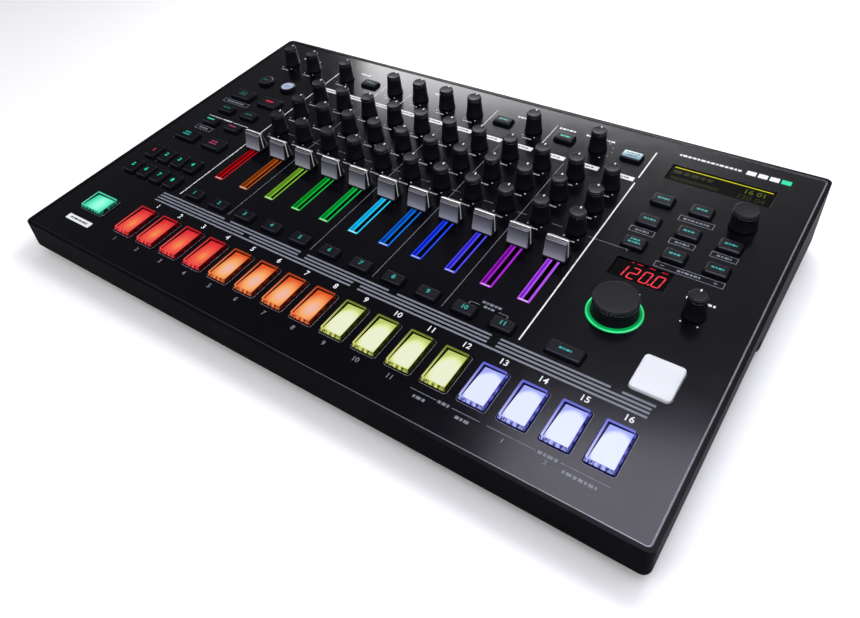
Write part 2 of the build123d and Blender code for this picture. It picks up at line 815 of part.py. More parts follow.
for i in range(channel_count):
    save(f"level_fader_{i + 1:02d}", fader_cap(channel_x(i)), panel_place)
for number, (x, y) in enumerate(pad_places, 1):
    save(f"step_pad_{number:02d}", pad(x, y, pad_width, pad_length, pad_height, pad_gap), panel_place)
start_size = (start_pad_width, start_pad_length, pad_height, pad_gap)
save("start_stop_pad", pad(*start_pad_place, *start_size), panel_place)
trigger_size = (trigger_pad_width, trigger_pad_length, trigger_pad_height, trigger_pad_gap)
save("trigger_pad", pad(*trigger_pad_place, *trigger_size), panel_place)
for name, groups in key_groups.items():
    keys = [key(place, width, length) for places, width, length in groups for place in places]
    save(name, keys, panel_place)
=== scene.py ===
"""Looks for the drum machine: finished shapes, materials, prints, lit parts, light and camera.

Everything on the face panel is placed in the panel's own frame, in millimetres: x from the left side,
y up the slope from the front edge, z square to the panel. PANEL carries that frame to Blender's metres.
"""

import math

import bmesh
import bpy
from mathutils import Matrix, Vector


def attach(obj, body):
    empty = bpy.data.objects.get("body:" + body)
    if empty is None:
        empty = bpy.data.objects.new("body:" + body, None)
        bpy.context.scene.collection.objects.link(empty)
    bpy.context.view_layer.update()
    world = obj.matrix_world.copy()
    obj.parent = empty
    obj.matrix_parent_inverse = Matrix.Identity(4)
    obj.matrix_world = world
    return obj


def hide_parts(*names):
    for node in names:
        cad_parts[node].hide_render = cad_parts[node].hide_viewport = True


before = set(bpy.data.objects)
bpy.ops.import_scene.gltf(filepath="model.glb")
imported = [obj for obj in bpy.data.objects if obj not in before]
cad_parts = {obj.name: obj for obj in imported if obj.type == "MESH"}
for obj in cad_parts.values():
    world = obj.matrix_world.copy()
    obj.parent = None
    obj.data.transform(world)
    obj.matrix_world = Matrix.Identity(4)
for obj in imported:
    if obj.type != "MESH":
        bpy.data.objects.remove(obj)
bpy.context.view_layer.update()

# ---- sizes, in millimetres
# pads and windows are (x, y, width, length), and a cap is (left, right, front, back) of its own middle
MM = 0.001
panel_slope = 5.0
front_height = 24.5
panel_length = 264.0
case_width = 409.0
rim_width = 2.4
rim_height = 0.4
panel_gap = 0.15
panel_thickness = 2.0
panel_corner = 2.0

channel_count = 11
channel_pitch = 22.18
first_channel_x = 81.5
control_row_y = 157.0
control_row_pitch = 22.7
top_row_y = 234.0
heading_y = top_row_y + 10.6
tile_row_y = 214.5
pad_number_y = 53.9
low_number_y = 18.6
instrument_key_y = 73.5
top_key_channels = (1, 6, 8, 10)

guide_width = 7.0
guide_front_y = 94.4
guide_back_y = 141.2
guide_rim = 0.8
guide_gap = 0.15
guide_dark_y = 137.4
guide_depth = 2.0
guide_slot_width = 2.9
fader_y = 132.8

pad_pitch = 20.58
first_pad_x = 67.4
pad_row_y = 36.3
pad_size = (15.5, 24.7)
pad_height = 2.55
glow_reach = 12.5
pad_gap = 0.75
pad_corner = 0.6
pad_cap = (-7.1, 6.7, -12.2, 11.7)
start_pad = (32.0, 36.3, 21.0, 15.5)
start_cap = (-10.3, 9.2, -7.5, 7.6)
opening_corner = 1.6
trigger_pad = (378.8, 80.9, 19.6, 22.0)
trigger_gap = 0.4
trigger_corner = 2.2

left_block_x = 38.4
variation_pitch = 12.9
key_gap = 0.25
key_corner = 1.2
key_height = 2.5
round_key_radius = 6.0
tempo_place = (345.7, 110.0)
shuffle_place = (379.0, 127.0)
value_place = (378.5, 202.4)
ring_outer = 14.3
text_window = (356.5, 231.75, 59.0, 15.5)
tempo_window = (346.0, 141.5, 30.0, 15.0)
window_depth = 0.8
window_corner = 0.6
print_height = 0.05
grain_depth = 0.2

case_depth = panel_length * math.cos(math.radians(panel_slope))


def turned_frame(origin, slope):
    """The frame at that point, turned about its x axis."""
    return Matrix.Translation(Vector(origin) * MM) @ Matrix.Rotation(math.radians(slope), 4, "X")


PANEL = turned_frame((-case_width / 2, -case_depth / 2, front_height), panel_slope)


def on_panel(x, y, z=0.0):
    """The placement of a piece whose own origin is at that point of the panel."""
    return PANEL @ Matrix.Translation(Vector((x, y, z)) * MM)


def channel_x(index):
    return first_channel_x + index * channel_pitch


# ---- materials
def srgb(red, green, blue):
    """The linear colour that shows as these display values."""
    values = (red / 255, green / 255, blue / 255)
    return tuple(v / 12.92 if v < 0.04045 else ((v + 0.055) / 1.055) ** 2.4 for v in values)


def blend_colours(first, second, share):
    return tuple(a + (b - a) * share for a, b in zip(first, second))


def grey(value):
    return (value, value, value, 1.0)


def spread_of(colour, spread):
    """The darker and lighter ends of a colour's variation."""
    return tuple(c * (1 - spread) for c in colour), tuple(min(c * (1 + spread), 1.0) for c in colour)


def set_inputs(node, **values):
    """Sets inputs of a node by Blender's names, with _ for a space."""
    for name, value in values.items():
        node.inputs[name.replace("_", " ")].default_value = value


class Look:
    """A node material, with the steps that its colours and textures are made of."""

    def __init__(self, name, specular=0.5, **values):
        self.mat = bpy.data.materials.new(name)
        self.mat.use_nodes = True
        self.nodes = self.mat.node_tree.nodes
        self.links = self.mat.node_tree.links
        self.coords = self.nodes.new("ShaderNodeTexCoord").outputs["Object"]
        self.shader = self.nodes["Principled BSDF"]
        tint = (0.86, 0.84, 1.0, 1.0)
        set_inputs(self.shader, Specular_IOR_Level=specular, Specular_Tint=tint, **values)

    def node(self, kind, source, socket="Vector", **values):
        """A new node with one input linked and others set."""
        node = self.nodes.new("ShaderNode" + kind)
        self.links.new(source, node.inputs[socket])
        set_inputs(node, **values)
        return node

    def noise(self, coords, scale, detail, **values):
        return self.node("TexNoise", coords, Scale=scale, Detail=detail, **values).outputs["Fac"]

    def bump(self, scale, strength):
        """Fine moulded or sprayed texture in the surface's normal."""
        grain = self.noise(self.coords, scale, 4.0)
        bump = self.node("Bump", grain, "Height", Strength=strength, Distance=grain_depth * MM)
        self.links.new(bump.outputs["Normal"], self.shader.inputs["Normal"])

    def ramp(self, source, target, stops):
        """A colour ramp from source to an input of the shader, with stops of (position, colour)."""
        node = self.node("ValToRGB", source, "Fac")
        elements = node.color_ramp.elements
        while len(elements) < len(stops):
            elements.new(0.5)
        for element, (position, colour) in zip(elements, stops):
            element.position = position
            element.color = (*colour[:3], 1.0)
        self.links.new(node.outputs["Color"], self.shader.inputs[target])

    def mottle(self, target, scale, low, high):
        """Slow variation of a colour or a roughness over the surface."""
        self.ramp(self.noise(self.coords, scale, 3.0), target, ((0.3, low), (0.7, high)))

    def axis_ramp(self, target, axis, ends, stops):
        """A colour that changes along one axis, between two places in millimetres from the piece's origin."""
        along = self.node("SeparateXYZ", self.coords).outputs[axis]
        low, high = ends
        level = self.node("MapRange", along, "Value", From_Min=low * MM, From_Max=high * MM)
        self.ramp(level.outputs["Result"], target, stops)


def coated(name, colour, roughness, grain=900.0, bump=0.1, spread=0.25, metallic=0.0, specular=0.2):
    """Moulded plastic, rubber or paint: a mottled colour and roughness over a fine grain."""
    look = Look(name, specular, Metallic=metallic)
    look.bump(grain, bump)
    look.mottle("Base Color", 40.0, *spread_of(colour, spread))
    look.mottle("Roughness", 90.0, *spread_of(grey(roughness), 0.08))
    return look.mat


def clear(name, colour, share, roughness, specular=0.02):
    """A clear piece that shows the light inside it and little of its own colour."""
    base = (*(c * share for c in colour), 1.0)
    return Look(name, specular, Base_Color=base, Roughness=roughness, Emission_Strength=1.0)


def lit(name, colour, roughness=0.35, spread=0.08, scale=120.0, specular=0.02):
    """An evenly lit piece, with a little unevenness in its glow."""
    look = clear(name, colour, 0.03, roughness, specular)
    look.mottle("Emission Color", scale, *spread_of(colour, spread))
    return look.mat


def glow(name, core, middle, edge, plateau, reach, centre):
    """Lit from one lamp below: the core colour round centre, fading to the edge colour at reach mm."""
    look = clear(name, edge, 0.02, 0.25)
    scale = (1.5 / (reach * MM), 1.0 / (reach * MM), 0.0)
    shift = [-c * MM * s for c, s in zip((*centre, 0.0), scale)]
    place = look.node("Mapping", look.coords, Scale=scale, Location=shift)
    length = look.node("VectorMath", place.outputs["Vector"], 0)
    length.operation = "LENGTH"
    stops = ((plateau, core), (plateau + 0.4 * (1.0 - plateau), middle), (1.0, edge))
    look.ramp(length.outputs["Value"], "Emission Color", stops)
    return look.mat


def crystal(name, low, high, scale, share):
    """The side of a clear cap: broken dark and bright streaks of the light inside it."""
    look = clear(name, high, 0.02, 0.12, 0.03)
    place = look.node("Mapping", look.coords, Scale=(1.0, 0.6, 0.35))
    streaks = look.noise(place.outputs["Vector"], scale, 5.0, Distortion=1.5)
    stops = tuple(zip(share, (low, blend_colours(low, high, 0.4), high)))
    look.ramp(streaks, "Emission Color", stops)
    return look.mat


def graded(name, axis, ends, stops, roughness):
    """Satin plastic or paint whose colour changes evenly along one axis, as painted light and shade."""
    look = Look(name, 0.05, Roughness=roughness)
    look.bump(2200.0, 0.1)
    look.axis_ramp("Base Color", axis, ends, stops)
    return look.mat


def graded_light(name, axis, ends, stops):
    """A lit strip whose colour changes evenly along one axis."""
    look = clear(name, stops[-1][1], 0.02, 0.15)
    look.axis_ramp("Emission Color", axis, ends, stops)
    return look.mat


def ink(name, colour, spread=0.05):
    """Print on the panel."""
    return coated(name, colour, 0.5, bump=0.05, spread=spread, specular=0.02)


case_plastic = coated("case_plastic", (0.0034, 0.0032, 0.0042), 0.4, grain=1500.0, bump=0.2, specular=0.004)
panel_paint = coated("panel_paint", (0.0014, 0.0014, 0.003), 0.18, 2600.0, 0.04, 0.12, specular=0.022)
# painted highlight for the plate's and the rim's edges, dark at the left and lighter toward the right
edge_highlight_stops = ((0.0, (0.006, 0.006, 0.008)), (0.45, (0.03, 0.03, 0.038)), (1.0, (0.27, 0.27, 0.32)))
painted_edge_highlight = graded("painted_edge_highlight", "X", (60.0, 400.0), edge_highlight_stops, 0.35)
knob_plastic = coated("knob_plastic", (0.0045, 0.0048, 0.0068), 0.38, grain=1800.0, bump=0.12, specular=0.045)
# the knob's dark plastic on top, in a lighter tone that is painted sheen from the light above
knob_top_painted_sheen = coated("knob_top_painted_sheen", (0.008, 0.0084, 0.0115), 0.5, grain=1800.0, specular=0.006)
# painted highlight on the tips of the knobs' ribs
knob_rib_highlight = coated("knob_rib_highlight", (0.22, 0.228, 0.25), 0.4, grain=1800.0, specular=0.05)
key_rubber = coated("key_rubber", (0.0042, 0.0045, 0.0068), 0.5, grain=1400.0, bump=0.15, specular=0.006)
# painted highlight on the keys' front shoulders and round the round keys' tops
key_edge_highlight = coated("key_edge_highlight", (0.027, 0.03, 0.04), 0.45, grain=1400.0, specular=0.02)
print_white = ink("print_white", (0.8, 0.81, 0.84), 0.03)
# grey print, also used as the painted highlight on the front and right edges of the pads' openings
grey_print_and_edge_highlight = ink("grey_print_and_edge_highlight", (0.19, 0.2, 0.25))
label_grey = ink("label_grey", (0.45, 0.46, 0.5))
# dim painted highlight on the left and back edges of the pads' openings
dim_edge_highlight = ink("dim_edge_highlight", (0.06, 0.062, 0.075))
print_dark = ink("print_dark", (0.006, 0.006, 0.008), 0.25)
# painted shade: the fader faces are lighter at the bottom and darker toward the top
fader_shade_stops = ((0.0, srgb(170, 170, 184)), (0.45, srgb(118, 119, 132)), (1.0, srgb(60, 61, 70)))
shaded_fader_face = graded("shaded_fader_face", "Z", (2.0, 12.0), fader_shade_stops, 0.4)
fader_side = coated("fader_side", (0.006, 0.006, 0.008), 0.4, grain=1800.0, bump=0.15, specular=0.05)
fader_line = coated("fader_line", (0.95, 0.95, 0.97), 0.3, bump=0.03, spread=0.02)
# painted highlight on the edges of the caps' gripping ridges
fader_ridge_highlight = coated("fader_ridge_highlight", (0.4, 0.4, 0.43), 0.3, bump=0.05, spread=0.05)
socket_plastic = coated("socket_plastic", (0.012, 0.012, 0.014), 0.4, grain=1500.0, bump=0.2)
socket_metal = coated("socket_metal", (0.5, 0.5, 0.51), 0.3, metallic=1.0)
foot_rubber = coated("foot_rubber", (0.02, 0.02, 0.02), 0.75, bump=0.4)
board_mask = coated("board_mask", (0.01, 0.06, 0.025), 0.4)
screw_steel = coated("screw_steel", (0.1, 0.1, 0.11), 0.35, metallic=1.0)
window_glass = coated("window_glass", (0.002, 0.002, 0.002), 0.15, 300.0, 0.02, specular=0.006)
trigger_white = coated("trigger_white", (0.76, 0.78, 0.85), 0.45, 1500.0, 0.05, 0.02, specular=0.01)
mint_legend = lit("mint_legend", srgb(30, 225, 165))
teal_legend = lit("teal_legend", srgb(45, 165, 160))
dim_legend = lit("dim_legend", srgb(20, 105, 95))
red_legend = lit("red_legend", srgb(255, 35, 65))
pink_legend = lit("pink_legend", srgb(165, 60, 95))
led_red = lit("led_red", srgb(255, 36, 62))
lcd_line = lit("lcd_line", srgb(214, 212, 22))
lcd_lit = lit("lcd_lit", srgb(78, 84, 8), specular=0.004)
lcd_dim = lit("lcd_dim", srgb(36, 40, 4), specular=0.004)
# the ring's glow is real; the strong mottle in both its colours stands in for glints, as painted highlights
ring_green = lit("ring_green", srgb(0, 150, 75), 0.15, 0.35, 45.0)
ring_glow_and_glint = lit("ring_glow_and_glint", srgb(60, 235, 140), 0.15, 0.45, 45.0)
round_top = lit("round_top", srgb(165, 178, 205), spread=0.2, scale=200.0)
pale_cyan = lit("pale_cyan", srgb(130, 165, 180))


# ---- mesh helpers
def add_object(name, data):
    """A new object of that data, linked to the scene."""
    obj = bpy.data.objects.new(name, data)
    bpy.context.scene.collection.objects.link(obj)
    return obj


def put(obj, place, body):
    """Sets the object at its place and on its body."""
    obj.matrix_world = place
    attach(obj, body)
    return obj


def place_mesh(name, mesh, place, body):
    """An object that shows the mesh at its own place and on its own body."""
    return put(add_object(name, mesh), place, body)


def curve_mesh(curve, slot):
    """The mesh of a curve or a text, in one material."""
    source = add_object(curve.name, curve)
    mesh = bpy.data.meshes.new_from_object(source.evaluated_get(bpy.context.evaluated_depsgraph_get()))
    bpy.data.objects.remove(source)
    mesh.materials.clear()
    mesh.materials.append(slot)
    return mesh


class Mesh:
    """Points and faces gathered piece by piece, in millimetres."""

    def __init__(self):
        self.slots = []
        self.verts = []
        self.faces = []
        self.indices = []

    def face(self, corners, slot):
        if slot not in self.slots:
            self.slots.append(slot)
        self.faces.append(corners)
        self.indices.append(self.slots.index(slot))

    def skin(self, loops, bands, top=None, bottom=None):
        """Quads between loops of equal length, and caps on the end loops.

        Each band has one material, or a function that picks one from the middle of a quad.
        """
        count = len(loops[0])
        start = len(self.verts)
        for loop in loops:
            self.verts.extend(loop)
        for row, band in enumerate(bands):
            low = start + row * count
            for i in range(count):
                j = (i + 1) % count
                corners = (low + i, low + j, low + count + j, low + count + i)
                slot = band
                if not isinstance(band, bpy.types.Material):
                    slot = band(sum((Vector(self.verts[c]) for c in corners), Vector()) / 4)
                self.face(corners, slot)
        if top is not None:
            high = start + (len(loops) - 1) * count
            self.face(tuple(range(high, high + count)), top)
        if bottom is not None:
            self.face(tuple(range(start + count - 1, start - 1, -1)), bottom)

    def solid(self, loops, slot):
        """A closed solid of one material."""
        self.skin(loops, [slot] * (len(loops) - 1), slot, slot)

    def block(self, x0, x1, y0, y1, z0, z1, slot):
        """An upright block."""
        corners = [(x0, y0), (x1, y0), (x1, y1), (x0, y1)]
        self.solid([[(x, y, z) for x, y in corners] for z in (z0, z1)], slot)

    def built(self, name, sharp=35.0):
        """The finished mesh in metres, smooth but for edges past the angle."""
        mesh = bpy.data.meshes.new(name)
        mesh.from_pydata([Vector(v) * MM for v in self.verts], [], self.faces)
        for mat in self.slots:
            mesh.materials.append(mat)
        for poly, index in zip(mesh.polygons, self.indices):
            poly.material_index = index
        work = bmesh.new()
        work.from_mesh(mesh)
        bmesh.ops.recalc_face_normals(work, faces=work.faces)
        work.to_mesh(mesh)
        work.free()
        mesh.shade_smooth()
        mesh.set_sharp_from_angle(angle=math.radians(sharp))
        return mesh

    def made(self, name, place, body, sharp=35.0):
        """The mesh as an object at its place and on its body."""
        return place_mesh(name, self.built(name, sharp), place, body)


def circle(radius, z, count, x=0.0, y=0.0):
    turn = 2 * math.pi / count
    return [(x + radius * math.cos(i * turn), y + radius * math.sin(i * turn), z) for i in range(count)]


def ribbed(radius, depth, z, ribs):
    """A loop of four points to a rib: two at the rib's radius and two in the groove."""
    turn = math.pi / (2 * ribs)
    radii = (radius, radius, radius - depth, radius - depth)
    polar = [(radii[i % 4], i * turn) for i in range(4 * ribs)]
    return [(r * math.cos(angle), r * math.sin(angle), z) for r, angle in polar]


def rounded(width, length, radius, z, x=0.0, y=0.0, steps=5):
    """A rectangle with round corners, anticlockwise."""
    points = []
    for corner, (sx, sy) in enumerate(((1, 1), (-1, 1), (-1, -1), (1, -1))):
        cx, cy = sx * (width / 2 - radius), sy * (length / 2 - radius)
        for step in range(steps + 1):
            angle = math.radians(90 * corner + 90 * step / steps)
            points.append((x + cx + radius * math.cos(angle), y + cy + radius * math.sin(angle), z))
    return points


def joined_name(prefix, number):
    return f"{prefix}_{number:02d}"


# ---- face panel and the case's fine edges
top_key_places = [(channel_x(i), top_row_y) for i in top_key_channels]
instrument_places = [(channel_x(i), instrument_key_y) for i in range(channel_count)]
edit_places = [
    (334.7 + column * 21.9, 161.0 + row * 20.7)
    for row in range(3)
    for column in range(3)
    if row < 2 or column < 2
]
variation_places = [
    (left_block_x + (column - 1.5) * variation_pitch, 76.0 + row * 18.8)
    for row in (1, 0)
    for column in range(4)
]
mute_place = (336.8, instrument_key_y)
narrow_pair = (left_block_x - 10.9, left_block_x + 10.9)
wide_pair = (left_block_x - 13.15, left_block_x + 13.15)
round_places = [(x, 202.4) for x in narrow_pair]
small_key = (13.0, 8.0)
wide_key = (18.5, 10.7)
edit_key = (12.5, 9.0)
tall_key = (9.5, 13.0)
mute_size = (19.0, 8.5)
function_keys = [(x, 179.3, *wide_key) for x in wide_pair]
function_keys += [(x, y, *small_key) for y in (142.1, 158.8) for x in narrow_pair]
function_keys += [(x, 120.8, *wide_key) for x in wide_pair]
pad_places = [(first_pad_x + i * pad_pitch, pad_row_y) for i in range(16)]
control_places = [
    (channel_x(i), control_row_y + row * control_row_pitch) for row in range(3) for i in range(channel_count)
]
top_knob_places = [(x, top_row_y) for x in narrow_pair]
top_knob_places += [(channel_x(i), top_row_y) for i in range(channel_count) if i not in top_key_channels]


def opening_round(place, cap):
    """The opening round a pad's cap, as (x, y, width, length)."""
    x0, x1, y0, y1 = cap
    width, length = x1 - x0 + 2 * pad_gap, y1 - y0 + 2 * pad_gap
    return place[0] + (x0 + x1) / 2, place[1] + (y0 + y1) / 2, width, length


pad_openings = [opening_round(place, pad_cap) for place in pad_places] + [opening_round(start_pad, start_cap)]
plate_width = case_width - 2 * rim_width - 2 * panel_gap
plate_length = panel_length - 2 * rim_width - 2 * panel_gap
panel_middle = (case_width / 2, panel_length / 2)


def panel_holes():
    """Every opening in the face panel, as (x, y, width, length, corner radius)."""
    grow = 2 * key_gap
    sized = [(x, y, *small_key) for x, y in top_key_places + instrument_places]
    sized += [(x, y, *edit_key) for x, y in edit_places]
    sized += [(x, y, *tall_key) for x, y in variation_places]
    sized += function_keys + [(*mute_place, *mute_size)]
    holes = [(x, y, w + grow, l + grow, key_corner) for x, y, w, l in sized]
    round_hole = 2 * round_key_radius + grow
    holes += [(x, y, round_hole, round_hole, round_hole / 2) for x, y in round_places]
    holes += [(*opening, opening_corner) for opening in pad_openings]
    x, y, w, l = trigger_pad
    holes.append((x, y, w + 2 * trigger_gap, l + 2 * trigger_gap, trigger_corner + trigger_gap))
    middle = (guide_front_y + guide_back_y) / 2
    width, length = guide_width + 2 * guide_gap, guide_back_y - guide_front_y + 2 * guide_gap
    holes += [(channel_x(i), middle, width, length, 0.4) for i in range(channel_count)]
    holes += [(*window, window_corner) for window in (text_window, tempo_window)]
    ring_hole = ring_outer + guide_gap
    holes.append((*tempo_place, 2 * ring_hole, 2 * ring_hole, ring_hole))
    return holes


def face_panel():
    """The painted plate with its drilled and punched openings, each with a fine chamfer."""
    curve = bpy.data.curves.new("face_panel_outline", "CURVE")
    curve.dimensions = "2D"
    curve.fill_mode = "BOTH"
    chamfer = 0.12
    curve.extrude = (panel_thickness / 2 - chamfer) * MM
    curve.bevel_depth = chamfer * MM
    curve.bevel_resolution = 0
    curve.offset = -chamfer * MM
    outlines = [(*panel_middle, plate_width, plate_length, panel_corner)] + panel_holes()
    for x, y, w, l, radius in outlines:
        corner = min(radius, w / 2 - 0.01, l / 2 - 0.01)
        points = rounded(w, l, corner, 0.0, x, y, 12 if radius > 5 else 6)
        spline = curve.splines.new("POLY")
        spline.points.add(len(points) - 1)
        for point, co in zip(spline.points, points):
            point.co = (co[0] * MM, co[1] * MM, 0.0, 1.0)
        spline.use_cyclic_u = True
    mesh = curve_mesh(curve, panel_paint)
    mesh.set_sharp_from_angle(angle=math.radians(20))
    plate = place_mesh("face_plate", mesh, on_panel(0, 0, -panel_thickness / 2), "body")
    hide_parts("face_panel")


def ring_band(mesh, width, length, radius, steps, slot, middle=panel_middle):
    """A closed band round a rounded rectangle: steps are (grown by, height), first to last and back."""
    loops = [rounded(width + 2 * grow, length + 2 * grow, radius + grow, z, *middle) for grow, z in steps]
    mesh.skin(loops + loops[:1], [slot] * len(loops))


def edge_lines():
    """Painted highlights on fine edges: round the plate and along the rim, lighter toward the right, and
    round each pad's opening.
    """
    mesh = Mesh()
    plate_steps = ((0, -0.3), (-0.06, 0.0), (-0.3, 0.02), (-0.3, -0.3))
    ring_band(mesh, plate_width, plate_length, panel_corner, plate_steps, painted_edge_highlight)
    inner_width, inner_length = case_width - 2 * rim_width, panel_length - 2 * rim_width
    rim_steps = ((0.02, 0.1), (0.02, rim_height), (0.22, rim_height + 0.02), (0.3, 0.1))
    ring_band(mesh, inner_width, inner_length, panel_corner, rim_steps, painted_edge_highlight)
    lines = mesh.made("panel_edge_lines", PANEL, "body", 60.0)
    mesh = Mesh()
    for x, y, w, l in pad_openings:

        def nearer(point, x=x, y=y, w=w, l=l):
            """Painted highlight: the front and right edges take a lighter grey than the left and back."""
            return grey_print_and_edge_highlight if point.y < y - l / 2 + 0.3 or point.x > x + w / 2 - 0.3 else dim_edge_highlight

        steps = ((0.0, -0.1), (0.0, 0.03), (0.24, 0.03), (0.24, -0.1))
        ring_band(mesh, w, l, opening_corner, steps, nearer, (x, y))
    lines = mesh.made("pad_opening_lines", PANEL, "body", 60.0)


face_panel()
edge_lines()


# ---- print on the panel
def flat_text(text, x, y, size, slot, z=print_height, bold=0.0):
    """Characters as thin printed shapes, centred on a point of the panel."""
    curve = bpy.data.curves.new("characters", "FONT")
    curve.body = text
    curve.size = size * MM
    curve.align_x = "CENTER"
    curve.align_y = "CENTER"
    curve.extrude = 0.02 * MM
    curve.offset = bold * MM
    curve.resolution_u = 3
    mesh = curve_mesh(curve, slot)
    mesh.transform(Matrix.Translation(Vector((x, y, z)) * MM))
    return mesh


def gather(name, meshes, place, body):
    """Several meshes as one object."""
    objects = [add_object(name, mesh) for mesh in meshes]
    with bpy.context.temp_override(active_object=objects[0], selected_editable_objects=objects):
        bpy.ops.object.join()
    objects[0].name = name
    return put(objects[0], place, body)


def strip(mesh, x0, x1, y0, y1, slot, z=0.0):
    mesh.block(x0, x1, y0, y1, z, z + print_height, slot)


def dot(mesh, x, y, radius, slot):
    mesh.skin([circle(radius, 0.0, 12, x, y), circle(radius, print_height, 12, x, y)], [slot], slot)


line_thick = 0.3


def line_box(mesh, x0, x1, y0, y1, slot):
    """A thin printed frame."""
    for y in (y0, y1 - line_thick):
        strip(mesh, x0, x1, y, y + line_thick, slot)
    for x in (x0, x1 - line_thick):
        strip(mesh, x, x + line_thick, y0 + line_thick, y1 - line_thick, slot)


dash_shares = (0.9, 0.55, 1.15, 0.7, 0.95, 0.5, 1.0, 0.8)


def dashes(mesh, x, y, length, height, slot, z=0.0, thick=print_height, first=0):
    """A row of plain short bars in place of a word, centred on a point."""
    left, end = x - length / 2, x + length / 2
    number = first
    while left < end - 0.25 * height:
        right = min(left + height * dash_shares[number % len(dash_shares)], end)
        mesh.block(left, right, y - 0.36 * height, y + 0.36 * height, z, z + thick, slot)
        left = right + 0.3 * height
        number += 1


def end_dots(mesh, x, y, radius):
    """The two dots at the ends of a knob's turn."""
    for side in (-4.2, 4.2):
        dot(mesh, x + side, y, radius, print_white)


def label_tile(mesh, x, y, width, length):
    """A white label tile with dark dashes in place of a word."""
    loops = [rounded(width, length, 0.5, z, x, y, 3) for z in (0.0, print_height)]
    mesh.skin(loops, [print_white], print_white)
    dashes(mesh, x, y, width * 0.7, length * 0.4, print_dark, print_height, 0.02)


stripe_rows = {
    65.8: ((60, 115.5), (120.5, 177), (182, 239), (244.5, 301.5), (306.5, 363), (368.5, 384)),
    63.3: ((60, 177), (182, 301.5), (306.5, 383)),
    60.9: ((60, 136), (141, 218.5), (223.5, 301.5), (306.5, 383)),
    58.3: ((60, 218.5), (223.5, 383)),
}
stripe_half = 0.6
block_lines = [(70.65, 71.25, 70, 246), (313.85, 314.65, 70, 212), (313.85, 314.65, 217.5, 246)]
block_lines += [(x - 0.2, x + 0.2, 219, 246) for x in (115.5, 138.0, 204.0, 248.0)]
block_lines += [(x0, x1, 148.3, 148.7) for x0, x1 in ((19, 33.4), (43.4, 58))]
fine_lines = [(x - 0.15, x + 0.15, 70, 210) for x in (114.3, 180.5, 225.0, 269.5)]
fine_lines += [(311, 333.5, 155.35, 155.65), (333.2, 333.5, 153.8, 155.35)]
fine_lines += [(x0, x1, 18.3, 18.6) for x0, x1 in ((285, 299.5), (308, 322.5), (326, 350), (361.5, 384))]
fine_lines += [(280.5, 286, 80.7, 81), (297, 302.7, 80.7, 81), (280.5, 280.8, 79, 81), (302.4, 302.7, 79, 81)]
fine_lines += [(channel_x(i) + 8.0, channel_x(i + 1) - 8.0, 155.85, 156.1) for i in range(channel_count - 1)]
minus_and_plus = [(352.3, 354.3, 152.4, 152.75), (379.5, 381.7, 152.4, 152.75), (380.4, 380.75, 151.5, 153.6)]


def printed_lines(mesh):
    """Stripes above the pads, and the lines between the blocks of controls."""
    for y, spans in stripe_rows.items():
        for span in spans:
            strip(mesh, *span, y - stripe_half, y + stripe_half, grey_print_and_edge_highlight)
    for place in fine_lines + minus_and_plus:
        strip(mesh, *place, grey_print_and_edge_highlight)
    for place in block_lines:
        strip(mesh, *place, print_white)


def printed_words(mesh):
    """Frames, tiles, scale dots and rows of dashes in place of the panel's words."""
    frames = [(x0, x0 + 13.7, 171.0, 175.6, 7.5) for x0 in (327.3, 349.3, 371.3)]
    frames += [(347, 366, 191.5, 196.3, 14.0), (349.3, 385, 150.3, 154.8, 12.0)]
    frames += [(14, 38, 167.5, 172.0, 17.0), (21, 36, 131.3, 136.0, 9.0)]
    for x0, x1, y0, y1, length in frames:
        line_box(mesh, x0, x1, y0, y1, grey_print_and_edge_highlight)
        dashes(mesh, (x0 + x1) / 2, (y0 + y1) / 2, length, 1.9, grey_print_and_edge_highlight)
    for number, (x, y) in enumerate(control_places + top_knob_places[:-1]):
        end_dots(mesh, x, y - 7.0, 0.38)
        dashes(mesh, x, y - 9.7, 6.6, 1.2, label_grey, first=number % 5)
    x, y = top_knob_places[-1]
    for angle in range(-60, 91, 30):
        turn = math.radians(angle)
        dot(mesh, x + 9.5 * math.cos(turn), y + 9.5 * math.sin(turn), 0.3, print_white)
    end_dots(mesh, shuffle_place[0], shuffle_place[1] - 7.2, 0.45)
    for i in range(channel_count):
        label_tile(mesh, channel_x(i) + 0.3, tile_row_y, 18.0, 4.0)
    label_tile(mesh, 31.7, 18.7, 22.5, 4.6)
    for x, length in ((39.0, 16.0), (92.0, 10.0), (160.0, 12.0), (226.0, 12.0), (256.0, 11.0), (279.0, 20.0)):
        dashes(mesh, x, heading_y, length, 2.2, print_white, first=3)
    for x, y, length in ((303.8, 18.4, 7.0), (291.8, 15.2, 6.5), (315.2, 15.2, 7.5), (355.8, 18.4, 9.6)):
        dashes(mesh, x, y, length, 2.2, grey_print_and_edge_highlight, first=int(x) % 5)
    dashes(mesh, 371.5, 15.0, 15.5, 2.2, grey_print_and_edge_highlight, first=1)
    dashes(mesh, 291.7, 83.6, 11.0, 2.0, grey_print_and_edge_highlight)
    dashes(mesh, 291.7, 80.8, 6.5, 2.0, grey_print_and_edge_highlight, first=4)
    dashes(mesh, 38.4, 148.5, 8.6, 1.5, print_white)
    dashes(mesh, 379.2, 136.6, 15.0, 2.3, print_white)
    dashes(mesh, 345.7, 126.3, 15.0, 2.5, print_white, first=2)
    dashes(mesh, 345.0, 250.3, 36.0, 2.4, print_white, first=5)
    for i, slot in enumerate((print_white, print_white, print_white, mint_legend)):
        strip(mesh, 366.0 + i * 6.4, 371.2 + i * 6.4, 248.4, 252.4, slot)


